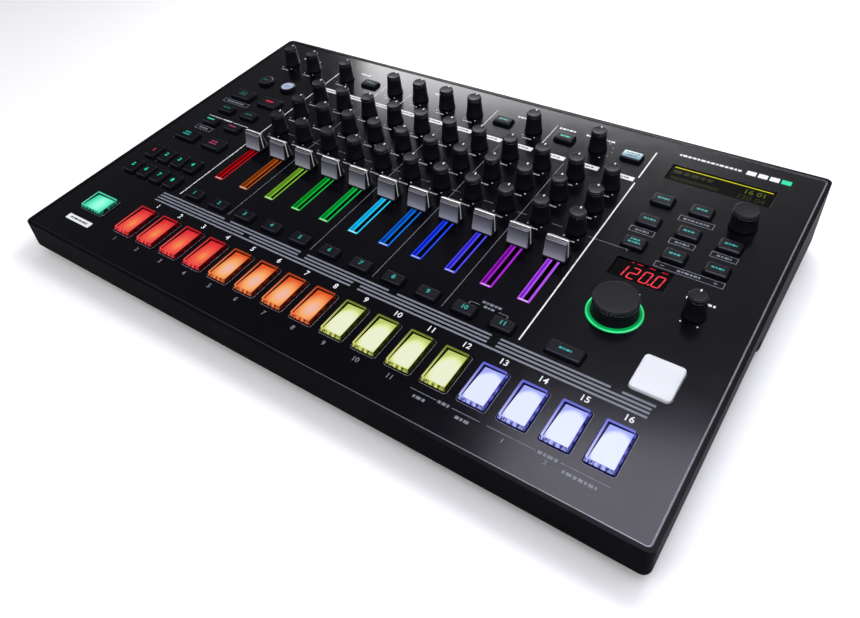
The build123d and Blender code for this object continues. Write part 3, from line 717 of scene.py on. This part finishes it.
def panel_print():
    mesh = Mesh()
    printed_lines(mesh)
    printed_words(mesh)
    lines = mesh.made("panel_lines", PANEL, "body")
    figures = []
    for number, (x, _) in enumerate(pad_places, 1):
        figures.append(flat_text(str(number), x + 0.6, pad_number_y, 5.0, print_white, bold=0.07))
        if number <= channel_count:
            figures.append(flat_text(str(number), x - 0.4, low_number_y, 4.2, grey_print_and_edge_highlight, bold=0.05))
    for text, x in (("1", 335.5), ("2", 356.0)):
        figures.append(flat_text(text, x, 15.0, 3.4, grey_print_and_edge_highlight, bold=0.04))
    numbers = gather("panel_numbers", figures, PANEL, "body")


panel_print()


# ---- knobs
knob_lift = 0.6
knob_band = 1.9


def knob_mesh(name, radius, top_radius, height, ribs, depth, pointer):
    """Shaft, flared skirt, tapering flank, ribbed band with painted highlights on the rib tips, and a dished
    top lightened by painted sheen, with an optional tick.
    """
    count = 4 * ribs
    mesh = Mesh()
    shoulder = height - knob_band - 0.5
    flank = radius - 0.35
    upper = top_radius + (flank - top_radius) * 0.12
    foot = [(2.4, -3.2), (2.4, knob_lift), (radius, knob_lift), (radius, 1.2), (flank, 2.3)]
    foot += [((flank + upper) / 2, shoulder * 0.55), (upper, shoulder)]
    crown = ((0.1, 0.6), (0.16, 0.28), (0.32, 0.08), (0.55, 0.0), (0.9, 0.06))
    loops = [circle(r, z, count) for r, z in foot]
    loops.append(ribbed(upper + 0.02, 0.02, shoulder + 0.05, ribs))
    loops.append(ribbed(upper, depth, shoulder + 0.25, ribs))
    loops.append(ribbed(top_radius + 0.05, depth, height - 0.75, ribs))
    loops += [circle(top_radius - inset, height - drop, count) for inset, drop in crown]
    loops.append(circle(top_radius * 0.55, height - 0.22, count))

    def teeth(point):
        """The rib tips carry a painted highlight, and the grooves stay dark."""
        return knob_rib_highlight if math.hypot(point.x, point.y) > top_radius - 0.3 * depth else knob_plastic

    bands = [knob_plastic] * 9 + [teeth, knob_plastic] + [knob_top_painted_sheen] * 4
    mesh.skin(loops, bands, knob_top_painted_sheen, knob_plastic)
    if pointer:
        edge = top_radius - 0.25
        mesh.block(-0.4, 0.4, edge - 1.5, edge, height - 0.25, height + 0.02, print_white)
    return mesh.built(name, 28.0)


fixed_knobs = ("control_knob", "decay_knob", "tune_knob")
# radius at the foot and at the top, height, ribs, their depth, with a tick or not
small_knob = (5.8, 4.6, 14.0, 36, 0.3, True)
large_knobs = {
    "tempo_knob": (12.0, 11.4, 10.5, 60, 0.5, False, tempo_place),
    "value_knob": (7.5, 6.7, 11.5, 40, 0.35, False, value_place),
    "shuffle_knob": (5.9, 4.6, 13.7, 36, 0.3, True, shuffle_place),
}


def knobs():
    small = knob_mesh("small_knob", *small_knob)
    names = [joined_name(kind, i + 1) for kind in fixed_knobs for i in range(channel_count)]
    for name, place in zip(names, control_places):
        obj = place_mesh(name, small, on_panel(*place), "body")
        if name == names[0]:
            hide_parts("channel_knobs")
    turned = {f"top_knob_{number}": (small, place) for number, place in enumerate(top_knob_places, 1)}
    for node, (*sizes, place) in large_knobs.items():
        turned[node] = (knob_mesh(node, *sizes), place)
    for node, (mesh, place) in turned.items():
        obj = place_mesh(node + "_turned", mesh, on_panel(*place), node)
        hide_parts(node)


knobs()


# ---- light guides and faders
# bright and deep colour of each guide
guide_colours = [
    (srgb(215, 12, 22), srgb(105, 0, 6)),
    (srgb(205, 98, 22), srgb(105, 46, 5)),
    (srgb(145, 205, 62), srgb(84, 132, 28)),
    (srgb(22, 212, 66), srgb(0, 112, 26)),
    (srgb(5, 216, 88), srgb(0, 122, 40)),
    (srgb(50, 220, 255), srgb(8, 150, 210)),
    (srgb(18, 130, 245), srgb(0, 56, 155)),
    (srgb(42, 88, 255), srgb(10, 24, 190)),
    (srgb(92, 88, 255), srgb(38, 28, 190)),
    (srgb(195, 45, 238), srgb(88, 5, 122)),
    (srgb(200, 100, 255), srgb(118, 22, 200)),
]


def light_guide(number, bright, deep):
    """A clear trough round a fader's slot: bright rim and front lip, deeper walls, open slot."""
    rim = lit(f"guide_rim_{number}", bright, 0.15)
    wall = lit(f"guide_wall_{number}", deep, 0.15, 0.15)
    floor = lit(f"guide_floor_{number}", blend_colours(deep, bright, 0.5), 0.2, 0.15)
    lip = lit(f"guide_lip_{number}", blend_colours(bright, (1.0, 1.0, 1.0), 0.35), 0.1)
    half = guide_width / 2
    inner = half - guide_rim
    slot = guide_slot_width / 2
    y0, y1 = guide_front_y, guide_back_y
    top, low, under = -0.15, -guide_depth, -3.4

    def ring(hx, inset, z):
        front, back = y0 + inset, y1 - inset
        return [(hx, front, z), (hx, back, z), (-hx, back, z), (-hx, front, z)]

    loops = [
        ring(half, 0.0, under),
        ring(half, 0.0, top - 0.2),
        ring(half - 0.2, 0.2, top),
        ring(inner, 1.1, top),
        ring(inner - 0.25, 1.3, low),
        ring(slot + 0.15, 1.4, low),
        ring(slot, 1.5, low - 0.2),
        ring(slot, 1.5, under),
    ]
    mesh = Mesh()
    mesh.skin(loops + loops[:1], [rim, rim, floor, wall, floor, rim, print_dark, print_dark])
    mesh.block(-inner, inner, y0 + 0.1, y0 + 1.0, top - 0.02, top + 0.1, lip)
    for side in (-1, 1):
        edges = sorted((side * (half + 0.02), side * slot))
        mesh.block(*edges, guide_dark_y, y1 + 0.02, low + 0.02, top + 0.06, print_dark)
    mesh.block(-slot, slot, y1 - 1.45, y1 + 0.02, low + 0.02, top + 0.06, print_dark)
    obj = mesh.made(joined_name("light_guide", number), on_panel(channel_x(number - 1), 0), "body")
    return obj


def tempo_ring():
    """The clear lit ring under the tempo knob, with a rounded top that glows brighter, partly with painted
    glints.
    """
    mesh = Mesh()
    steps = [(0.0, -1.9), (0.0, -0.35), (0.2, 0.05), (0.6, 0.2)]
    steps += [(1.1, 0.15), (1.5, -0.3), (11.1, -0.5), (11.1, -1.9)]
    loops = [circle(ring_outer - inset, z, 96) for inset, z in steps]
    mesh.skin(loops + loops[:1], [ring_green] * 2 + [ring_glow_and_glint] * 2 + [ring_green] * 4)
    obj = mesh.made("tempo_light_ring", on_panel(*tempo_place), "body")


def fader_mesh():
    """Cap with a stepped lip, slanting satin faces painted lighter toward the bottom as shade, gripping
    ridges with painted highlights on their edges, and a white line over its crest.
    """
    mesh = Mesh()

    def loop(width, length, z, cut=0.7):
        """Anticlockwise from the front right corner, with the corners cut."""
        x, y = width / 2, length / 2
        right = [(x - cut, -y, z), (x, -y + cut, z), (x, y - cut, z), (x - cut, y, z)]
        return right + [(-px, py, z) for px, py, z in reversed(right)]

    def cheek(point):
        """The broad faces and their cut corners take the face colour with its painted shade, and the sides
        are dark.
        """
        return fader_side if abs(point.y) < 1.8 else shaded_fader_face

    shape = [(12.4, 8.8, 0.6, 0.5), (13.2, 9.4, 0.85, 0.5), (13.2, 9.4, 1.75, 0.5), (12.9, 9.0, 2.05, 0.5)]
    shape += [(12.8, 8.75, 2.1), (12.2, 4.8, 11.9), (12.1, 4.55, 12.15)]
    for i in range(3):
        length, z = 4.3 - 0.85 * i, 12.2 + 0.36 * i
        shape += [(12.1, length, z, 0.4), (12.1, length - 0.1, z + 0.22, 0.4)]
    loops = [loop(*sizes) for sizes in shape + [(12.0, 1.6, 13.35, 0.4)]]
    bands = [fader_side] * 4 + [cheek] + [fader_ridge_highlight, fader_side] * 4
    mesh.skin(loops, bands, fader_side, fader_side)
    line, line_top = 0.3, 13.42
    mesh.block(-6.05, 6.05, -line, line, line_top - 0.22, line_top, fader_line)
    for side in (-1, 1):
        ends = ((side * 6.4, 2.0), (side * 6.0, line_top))
        corners = ((-0.12, -line), (0.12, -line), (0.12, line), (-0.12, line))
        loops = [[(x + side * 0.06 + dx, dy, z) for dx, dy in corners] for x, z in ends]
        mesh.solid(loops, fader_line)
    mesh.block(-0.6, 0.6, -1.5, 1.5, -6.0, 0.7, fader_side)
    return mesh.built("fader_cap", 20.0)


def guides_and_faders():
    guides = [light_guide(i + 1, *colours) for i, colours in enumerate(guide_colours)]
    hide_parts("light_guides")
    tempo_ring()
    cap = fader_mesh()
    for i in range(channel_count):
        node = joined_name("level_fader", i + 1)
        obj = place_mesh(node + "_cap", cap, on_panel(channel_x(i), fader_y), node)
        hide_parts(node)


guides_and_faders()


# ---- pads
class PadLook:
    """The materials of one colour of pad; the lamp is under centre, in millimetres from the cap's middle."""

    def __init__(self, name, face, strips, deep, front, side, centre=(1.2, -3.4)):
        self.face = glow(name + "_face", *face, glow_reach, centre)
        stops = ((0.0, strips[0]), (0.6, blend_colours(*strips, 0.5)), (1.0, strips[1]))
        self.rim = graded_light(name + "_rim", "Y", (-12.0, 11.0), stops)
        self.wall = lit(name + "_wall", strips[1], 0.12, 0.15)
        # deep is painted shade: the lower walls, the flange and the left and back of the sunk face
        self.deep = lit(name + "_deep", deep, 0.2, 0.3, 300.0)
        self.front = crystal(name + "_front", *front, 460.0, (0.4, 0.5, 0.57))
        self.side = crystal(name + "_side", *side, 420.0, (0.45, 0.6, 0.72))


# each look: lit face (core, middle, edge, share of the core), strips, painted shade, front and side
pad_looks = {
    "red": (
        (srgb(240, 142, 74), srgb(240, 92, 72), srgb(218, 40, 48), 0.06),
        (srgb(250, 76, 74), srgb(170, 22, 28)),
        srgb(34, 2, 5),
        (srgb(96, 6, 12), srgb(248, 74, 80)),
        (srgb(22, 2, 4), srgb(96, 6, 12)),
    ),
    "orange": (
        (srgb(238, 184, 166), srgb(246, 172, 104), srgb(226, 86, 34), 0.2),
        (srgb(248, 132, 80), srgb(160, 58, 24)),
        srgb(36, 8, 3),
        (srgb(84, 22, 8), srgb(244, 126, 70)),
        (srgb(20, 5, 3), srgb(108, 30, 10)),
    ),
    "yellow": (
        (srgb(233, 238, 208), srgb(228, 236, 168), srgb(184, 200, 104), 0.62),
        (srgb(214, 216, 130), srgb(108, 120, 42)),
        srgb(20, 22, 4),
        (srgb(34, 42, 10), srgb(208, 216, 116)),
        (srgb(14, 16, 3), srgb(52, 58, 14)),
    ),
    "violet": (
        (srgb(226, 233, 255), srgb(214, 222, 255), srgb(160, 168, 246), 0.78),
        (srgb(186, 188, 252), srgb(96, 100, 206)),
        srgb(14, 14, 52),
        (srgb(22, 22, 104), srgb(176, 184, 255)),
        (srgb(20, 20, 92), srgb(132, 138, 250)),
    ),
}
mint_look = (
    (srgb(156, 252, 226), srgb(118, 246, 208), srgb(66, 214, 168), 0.25),
    (srgb(112, 238, 200), srgb(52, 176, 138)),
    srgb(0, 26, 20),
    (srgb(0, 16, 12), srgb(74, 204, 162)),
    (srgb(0, 14, 10), srgb(52, 166, 132)),
)


flange_low, flange_top = -3.3, -2.3
flange_grow = 3.2
shade_width = 2.2


def pad_mesh(name, cap, flange, look, slopes):
    """A clear box of a cap: bright strips at its left and back, and a lit face sunk between them, with
    painted shade at the face's left and back and on the lower walls and flange.
    """
    mesh = Mesh()
    x0, x1, y0, y1 = cap
    lean_x, lean_y = slopes
    half_x, half_y = (x1 - x0) / 2, (y1 - y0) / 2
    middle_x, middle_y = (x0 + x1) / 2, (y0 + y1) / 2

    def shape(left, right, front, back, z, corner=0.3):
        """The cap's outline moved in on each side by so much."""
        width, length = 2 * half_x - left - right, 2 * half_y - front - back
        x, y = middle_x + (left - right) / 2, middle_y + (front - back) / 2
        return rounded(width, length, corner, z, x, y, 2)

    def sunk(left, right, front, back, wedge=0.0):
        """An outline on the sunk face, which rises toward the front right, with a wedge off its back left."""
        points = []
        for x, y, _ in shape(left, right, front, back, 0.0, 0.2):
            along, across = (y - middle_y) / half_y, (x - middle_x) / half_x
            if x < middle_x:
                x += wedge * (along + 0.9)
            points.append((x, y, 1.95 + 0.3 * across - 0.25 * along))
        return points

    loops = [
        rounded(*flange, 0.5, flange_low, steps=2),
        rounded(*flange, 0.5, flange_top, steps=2),
        shape(0.0, 0.0, 0.0, 0.0, flange_top, pad_corner),
        shape(0.0, 0.0, 0.0, 0.0, 0.5, pad_corner),
        shape(0.15, lean_x, lean_y, 0.15, pad_height - 0.15, pad_corner),
        shape(0.35, lean_x + 0.1, lean_y + 0.1, 0.3, pad_height, 0.5),
        shape(1.15, lean_x + 0.2, lean_y + 0.2, 1.35, pad_height),
        shape(1.25, lean_x + 0.25, lean_y + 0.25, 1.45, pad_height - 0.1),
        sunk(1.25, lean_x + 0.3, lean_y + 0.3, 1.5),
        sunk(1.4, lean_x + 0.35, lean_y + 0.35, 2.0, 0.5),
    ]

    def side(point):
        """The front breaks the light up, the right side holds little of it, and the others glow evenly."""
        if point.y < y0 + lean_y + 0.3 and point.x < x1 - lean_x:
            return look.front
        return look.side if point.x > x1 - lean_x - 0.4 else look.wall

    def inner(point):
        """Painted shade at the left and back of the sunk face, where it is deepest, and lit elsewhere."""
        return look.deep if point.x < x0 + shade_width or point.y > y1 - shade_width else look.face

    bands = [look.deep, look.deep, look.deep, side, look.rim, look.rim, look.rim, inner, inner]
    mesh.skin(loops, bands, look.face, look.deep)
    return mesh.built(name, 30.0)


def step_pads():
    flange = (pad_size[0] + flange_grow, pad_size[1] + flange_grow)
    for group, (name, colours) in enumerate(pad_looks.items()):
        look = PadLook("pad_" + name, *colours)
        mesh = pad_mesh("pad_" + name, pad_cap, flange, look, (0.6, 0.9))
        for i in range(group * 4, group * 4 + 4):
            node = joined_name("step_pad", i + 1)
            obj = place_mesh(node + "_cap", mesh, on_panel(*pad_places[i]), node)
            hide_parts(node)


def start_stop_cap():
    x, y, w, l = start_pad
    look = PadLook("pad_mint", *mint_look, centre=(1.0, -1.5))
    flange = (w + flange_grow, l + flange_grow)
    mesh = pad_mesh("pad_mint", start_cap, flange, look, (0.3, 0.3))
    obj = place_mesh("start_stop_cap", mesh, on_panel(x, y), "start_stop_pad")
    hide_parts("start_stop_pad")


def trigger_cap():
    """A white cap with a softly rounded edge and a nearly flat top."""
    x, y, w, l = trigger_pad
    mesh = Mesh()
    shape = [(-2.4, 0.5, flange_low), (-2.4, 0.5, flange_top)]
    shape += [(0.0, trigger_corner, flange_top), (0.0, trigger_corner, 0.7)]
    shape += [(0.2, 2.1, 1.15), (0.6, 1.9, 1.45), (1.4, 1.6, 1.6), (4.0, 1.0, 1.66)]
    loops = [rounded(w - inset, l - inset, corner, z) for inset, corner, z in shape]
    mesh.solid(loops, trigger_white)
    obj = mesh.made("trigger_cap", on_panel(x, y), "trigger_pad", 60.0)
    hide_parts("trigger_pad")


step_pads()
start_stop_cap()
trigger_cap()


# ---- keys
key_shape = (
    # narrower by, shorter by, corner radius, height, moved back
    (0.0, 0.0, key_corner, -3.0, 0.0),
    (0.0, 0.0, key_corner, 1.1, 0.0),
    (0.7, 0.7, 1.1, 1.9, 0.1),
    (1.5, 1.7, 0.9, 2.38, 0.25),
    (2.0, 2.2, 0.8, key_height, 0.3),
    (3.2, 3.4, 0.6, key_height - 0.02, 0.3),
)


def key(mesh, x, y, width, length):
    """A soft key: straight sides, a fine shoulder with a painted highlight at its front, and a top that dips
    to its middle.
    """
    loops = []
    for narrow, short, corner, z, shift in key_shape:
        loops.append(rounded(width - narrow, length - short, corner, z, x, y + shift, 4))

    def shoulder(point):
        """Painted highlight on the front of the rounding."""
        return key_edge_highlight if point.y < y - length / 2 + 0.9 else key_rubber

    mesh.skin(loops, [key_rubber, key_rubber, shoulder, shoulder, key_rubber], key_rubber, key_rubber)


def legend(mesh, x, y, slot, width=6.4, rows=1, height=1.7):
    """A lit mark in place of a word: one or two rows of short dashes."""
    for row in range(rows):
        middle = y + 0.3 + (row - (rows - 1) / 2) * (height + 0.7)
        first = int(x + row) % 6
        dashes(mesh, x, middle, width - row * 1.2, height, slot, key_height - 0.03, 0.08, first)


def finish_keys(mesh, node):
    obj = mesh.made(node + "_caps", PANEL, node, 32.0)
    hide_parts(node)


def key_group(node, places, width, length, slots, rows=None):
    mesh = Mesh()
    for number, (x, y) in enumerate(places):
        key(mesh, x, y, width, length)
        if slots[number]:
            legend(mesh, x, y, slots[number], rows=rows[number] if rows else 1)
    finish_keys(mesh, node)


def numbered_keys(node, places, width, length, slots, size):
    """Keys that carry plain numbers."""
    mesh = Mesh()
    for x, y in places:
        key(mesh, x, y, width, length)
    finish_keys(mesh, node)
    numbers = []
    for number, (x, y) in enumerate(places):
        numbers.append(flat_text(str(number + 1), x, y + 0.3, size, slots[number], key_height, 0.1))
    figures = gather(node + "_numbers", numbers, PANEL, node)


def function_group():
    mesh = Mesh()
    slots = [dim_legend, red_legend, mint_legend, pink_legend]
    slots += [dim_legend, dim_legend, teal_legend, pink_legend]
    for (x, y, w, l), slot in zip(function_keys, slots):
        key(mesh, x, y, w, l)
        legend(mesh, x, y, slot, rows=2 if w > 15 and slot is not red_legend else 1)
    finish_keys(mesh, "function_keys")


def round_keys():
    mesh = Mesh()
    for (x, y), top in zip(round_places, (key_rubber, round_top)):
        shape = ((0.0, -3.0), (0.0, 1.2), (0.25, 1.95), (0.8, 2.35), (1.4, 2.5), (1.8, 2.45))
        loops = [circle(round_key_radius - inset, z, 64, x, y) for inset, z in shape]
        mesh.skin(loops, [key_rubber, key_rubber, key_rubber, key_edge_highlight, top], top, key_rubber)
    legend(mesh, *round_places[0], dim_legend, 5.6)
    legend(mesh, *round_places[1], grey_print_and_edge_highlight, 5.6)
    finish_keys(mesh, "round_keys")


def lit_key_label():
    """The pale lit plate on the last key of the top row."""
    x, y = top_key_places[3]
    mesh = Mesh()
    shape = ((11.6, 6.2, 2.3), (11.6, 6.2, 2.52), (11.3, 5.9, 2.6))
    loops = [rounded(w, l, 0.7, z, x, y + 0.3) for w, l, z in shape]
    mesh.solid(loops, pale_cyan)
    dashes(mesh, x, y + 1.6, 8.4, 1.5, print_dark, 2.6, 0.03)
    dashes(mesh, x, y - 0.9, 5.6, 1.5, print_dark, 2.6, 0.03, first=3)
    obj = mesh.made("lit_key_label", PANEL, "effect_keys")


def keys():
    key_group("edit_keys", edit_places, *edit_key, [teal_legend] * 8, [2] + [1] * 7)
    key_group("effect_keys", top_key_places, *small_key, (dim_legend, teal_legend, mint_legend, None))
    key_group("mute_key", [mute_place], *mute_size, [teal_legend])
    numbered_keys("instrument_keys", instrument_places, *small_key, [teal_legend] * channel_count, 4.0)
    numbered_keys("variation_keys", variation_places, *tall_key, [red_legend] + [mint_legend] * 7, 4.4)
    function_group()
    round_keys()
    lit_key_label()


keys()


# ---- displays
def display_glass():
    """Two smoked lenses set down in their openings."""
    mesh = Mesh()
    for x, y, w, l in (text_window, tempo_window):
        shape = ((0.3, -2.0), (0.3, -window_depth - 0.15), (0.6, -window_depth))
        loops = [rounded(w - inset, l - inset, 0.5, z, x, y, 3) for inset, z in shape]
        mesh.solid(loops, window_glass)
    obj = mesh.made("display_lenses", PANEL, "body")
    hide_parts("display_windows")


segment_table = {"0": "abcdef", "1": "bc", "2": "abged"}
figure_z = -window_depth
figure_span = (figure_z - 0.02, figure_z + 0.05)


def seven_segment(mesh, text, x, y, width, length, pitch, slot):
    """Slanting figures of seven bars each."""
    thick = 0.72
    slant = 0.14

    def bar(ax, ay, bx, by):
        direction = Vector((bx - ax, by - ay)).normalized()
        side = Vector((-direction.y, direction.x)) * thick / 2
        tip = direction * thick / 2
        a, b = Vector((ax, ay)) + tip * 1.25, Vector((bx, by)) - tip * 1.25
        points = [a - tip, a - side, b - side, b + tip, b + side, a + side]
        loops = [[(p.x + slant * (p.y - y), p.y, z) for p in points] for z in figure_span]
        mesh.solid(loops, slot)

    for index, figure in enumerate(text):
        left = x + index * pitch
        right, low, high = left + width, y - length / 2, y + length / 2
        ends = {
            "a": (left, high, right, high),
            "b": (right, y, right, high),
            "c": (right, low, right, y),
            "d": (left, low, right, low),
            "e": (left, low, left, y),
            "f": (left, y, left, high),
            "g": (left, y, right, y),
        }
        for segment in segment_table[figure]:
            bar(*ends[segment])


def display_figures():
    """A tempo in red with its glint on the wall behind, and rows of marks on the text display."""
    mesh = Mesh()
    x, y, w, l = tempo_window
    first, pitch = x - 11.6, 6.55
    seven_segment(mesh, "1200", first, y - 0.9, 3.9, 8.6, pitch, led_red)
    loops = [circle(0.6, z, 16, first + 17.9, y - 5.0) for z in figure_span]
    mesh.solid(loops, led_red)
    # painted reflection: the red strips on the window's back wall stand in for the figures' glint
    wall = y + l / 2
    for i, start, end in ((0, 4.4, 6.0), (1, 1.0, 4.2), (2, 1.0, 4.2), (3, 1.0, 4.2)):
        left = first + i * pitch
        strip(mesh, left + start, left + end, wall - 0.75, wall - 0.4, led_red, figure_z)
    x, y, w, l = text_window
    left, right, wall = x - w / 2 + 1.6, x + w / 2 - 1.6, y + l / 2
    strip(mesh, left, right, wall - 1.5, wall - 0.8, lcd_line, figure_z)
    strip(mesh, left, right, wall - 2.2, wall - 1.7, lcd_dim, figure_z)
    dashes(mesh, left + 12.0, y + 2.4, 23.0, 4.4, lcd_dim, figure_z, first=2)
    for row in range(2):
        for i in range(16):
            spot = left + 1.0 + i * 1.75
            strip(mesh, spot, spot + 1.3, y - 3.6 - row * 1.6, y - 2.6 - row * 1.6, lcd_dim, figure_z)
    obj = mesh.made("display_marks", PANEL, "body")
    words = [
        flat_text("16 01", right - 8.6, y + 1.9, 5.6, lcd_lit, figure_z + 0.04, 0.12),
        flat_text("120 04", right - 9.6, y - 3.9, 5.6, lcd_dim, figure_z + 0.04, 0.12),
    ]
    obj = gather("display_numbers", words, PANEL, "body")


display_glass()
display_figures()


# ---- CAD nodes that stay, and the back
node_looks = {
    "bottom_case": case_plastic,
    "rubber_feet": foot_rubber,
    "case_screws": screw_steel,
    "main_board": board_mask,
    "board_components": knob_plastic,
    "fader_tracks": case_plastic,
    "rear_sockets": socket_plastic,
    "power_switch": key_rubber,
}
for node, mat in node_looks.items():
    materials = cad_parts[node].data.materials
    materials.clear()
    materials.append(mat)

socket_height = 19.5
jack_xs = [6.0 + 18.0 * i for i in range(3)] + [76.0 + 18.0 * i for i in range(6)]
midi_xs = (-60.0, -38.0)
trigger_jack_x = -15.0
usb_x, card_x, inlet_x, switch_x = -84.0, -112.0, -144.0, -168.0
BACK = turned_frame((0, case_depth / 2, socket_height), 90)


def collar(mesh, x, inner, outer, slot):
    """A bevelled metal ring round a bore in the back; local z points into the case."""
    shape = ((outer, 0.15), (outer, 0.1), (outer - 0.3, -0.1), (inner + 0.3, -0.1), (inner, 0.1))
    loops = [circle(radius, z, 48, x) for radius, z in shape]
    mesh.skin(loops + [circle(inner, 1.5, 48, x)], [slot] * len(shape))


def back_details():
    """Collars, pins and contacts of the sockets, and rows of dashes in place of their names."""
    mesh = Mesh()
    for x in jack_xs:
        collar(mesh, x, 3.2, 4.9, socket_metal)
    collar(mesh, trigger_jack_x, 1.75, 2.9, socket_metal)
    collar(mesh, inlet_x, 3.0, 3.8, screw_steel)
    for x in midi_xs:
        collar(mesh, x, 7.1, 8.1, screw_steel)
        for angle in (0, 45, 90, 135, 180):
            turn = math.radians(angle)
            px, py = x + 4.0 * math.cos(turn), 4.0 * math.sin(turn)
            mesh.skin([circle(0.75, z, 16, px, py) for z in (0.3, 0.15)], [socket_metal], print_dark)
    for i in range(4):
        mesh.block(usb_x - 2.1 + 1.2 * i, usb_x - 1.5 + 1.2 * i, 1.62, 1.72, 0.6, 6.0, socket_metal)
    names = [(x, 8.4, 7.0) for x in jack_xs + [trigger_jack_x]]
    names += [(x, 11.0, 9.0) for x in midi_xs]
    names += [(usb_x, 8.4, 7.0), (card_x, 6.6, 14.0), (inlet_x, 8.4, 7.0), (switch_x, 8.4, 9.0)]
    for number, (x, y, length) in enumerate(names):
        dashes(mesh, x, y, length, 1.5, grey_print_and_edge_highlight, -print_height, print_height, number % 5)
    for x0, x1 in ((-1.0, 49.0), (69.0, 173.0)):
        mesh.block(x0, x1, 10.6, 10.85, -print_height, 0.02, grey_print_and_edge_highlight)
    back = mesh.made("back_details", BACK, "body")


back_details()


# ---- light, floor and camera
def area_light(name, place, aim, size, power, glossy_only=True, colour=(1.0, 1.0, 1.0)):
    """A soft lamp, in metres and watts, that shows either in gloss or as plain light."""
    data = bpy.data.lights.new(name, "AREA")
    data.shape = "RECTANGLE"
    data.size, data.size_y = size
    data.energy = power
    data.color = colour
    obj = add_object(name, data)
    obj.location = place
    obj.rotation_euler = (Vector(aim) - Vector(place)).to_track_quat("-Z", "Y").to_euler()
    obj.visible_diffuse = not glossy_only
    obj.visible_glossy = glossy_only
    obj.visible_camera = False


area_light("back_sheen", (-0.21, 0.604, 0.228), (-0.0395, 0.1175, 0.0463), (0.53, 0.36), 36.0)
area_light("corner_sheen", (0.263, -0.085, 0.474), (0.1755, -0.1016, 0.0271), (0.6, 0.5), 72.0)
area_light("right_sheen", (0.12, 0.8, 0.74), (0.15, 0.02, 0.04), (0.7, 0.8), 5.0)
area_light("top_softbox", (0.12, 0.2, 0.66), (0.05, 0.0, 0.0), (0.3, 0.26), 2.2, False, (0.94, 0.95, 1.0))
area_light("front_softbox", (-0.5, -0.9, 0.7), (0.0, 0.0, 0.03), (0.7, 0.5), 4.0, False)


def white_floor():
    paint = Look("floor_white", Base_Color=grey(0.92), Roughness=0.9)
    mesh = bpy.data.meshes.new("floor")
    reach = 6.0
    corners = [(-reach, -reach, 0), (reach, -reach, 0), (reach, reach, 0), (-reach, reach, 0)]
    mesh.from_pydata(corners, [], [(0, 1, 2, 3)])
    mesh.materials.append(paint.mat)
    floor = add_object("floor", mesh)


def white_sky():
    """White to the camera and in gloss, and dimmer as light on the object."""
    world = bpy.data.worlds.new("studio")
    bpy.context.scene.world = world
    world.use_nodes = True
    nodes, links = world.node_tree.nodes, world.node_tree.links
    background = nodes["Background"]
    set_inputs(background, Color=grey(0.95))
    path = nodes.new("ShaderNodeLightPath")
    source = path.outputs["Is Camera Ray"]
    for seen in ("Is Glossy Ray", "Is Transmission Ray"):
        either = nodes.new("ShaderNodeMath")
        either.operation = "MAXIMUM"
        links.new(source, either.inputs[0])
        links.new(path.outputs[seen], either.inputs[1])
        source = either.outputs["Value"]
    level = nodes.new("ShaderNodeMapRange")
    set_inputs(level, To_Min=0.6, To_Max=1.0)
    links.new(source, level.inputs["Value"])
    links.new(level.outputs["Result"], background.inputs["Strength"])


white_floor()
white_sky()

camera_place = (227.61, -314.61, 302.73)
camera_aim = (6.85, -41.94, 30.0)
camera_roll = -4.184
photo_size = (860, 618)
focal_pixels = 779.81
principal_point = (373.73, 250.28)
sensor_width = 36.0

camera_data = bpy.data.cameras.new("camera")
camera_data.sensor_width = sensor_width
camera_data.lens = sensor_width * focal_pixels / photo_size[0]
camera_data.shift_x = (photo_size[0] / 2 - principal_point[0]) / photo_size[0]
camera_data.shift_y = (principal_point[1] - photo_size[1] / 2) / photo_size[0]
camera = add_object("camera", camera_data)
camera.location = Vector(camera_place) * MM
look = (Vector(camera_aim) - Vector(camera_place)).to_track_quat("-Z", "Y")
camera.rotation_euler = (look.to_matrix() @ Matrix.Rotation(math.radians(camera_roll), 3, "Z")).to_euler()
bpy.context.scene.camera = camera

bpy.context.scene.view_settings.view_transform = "Standard"
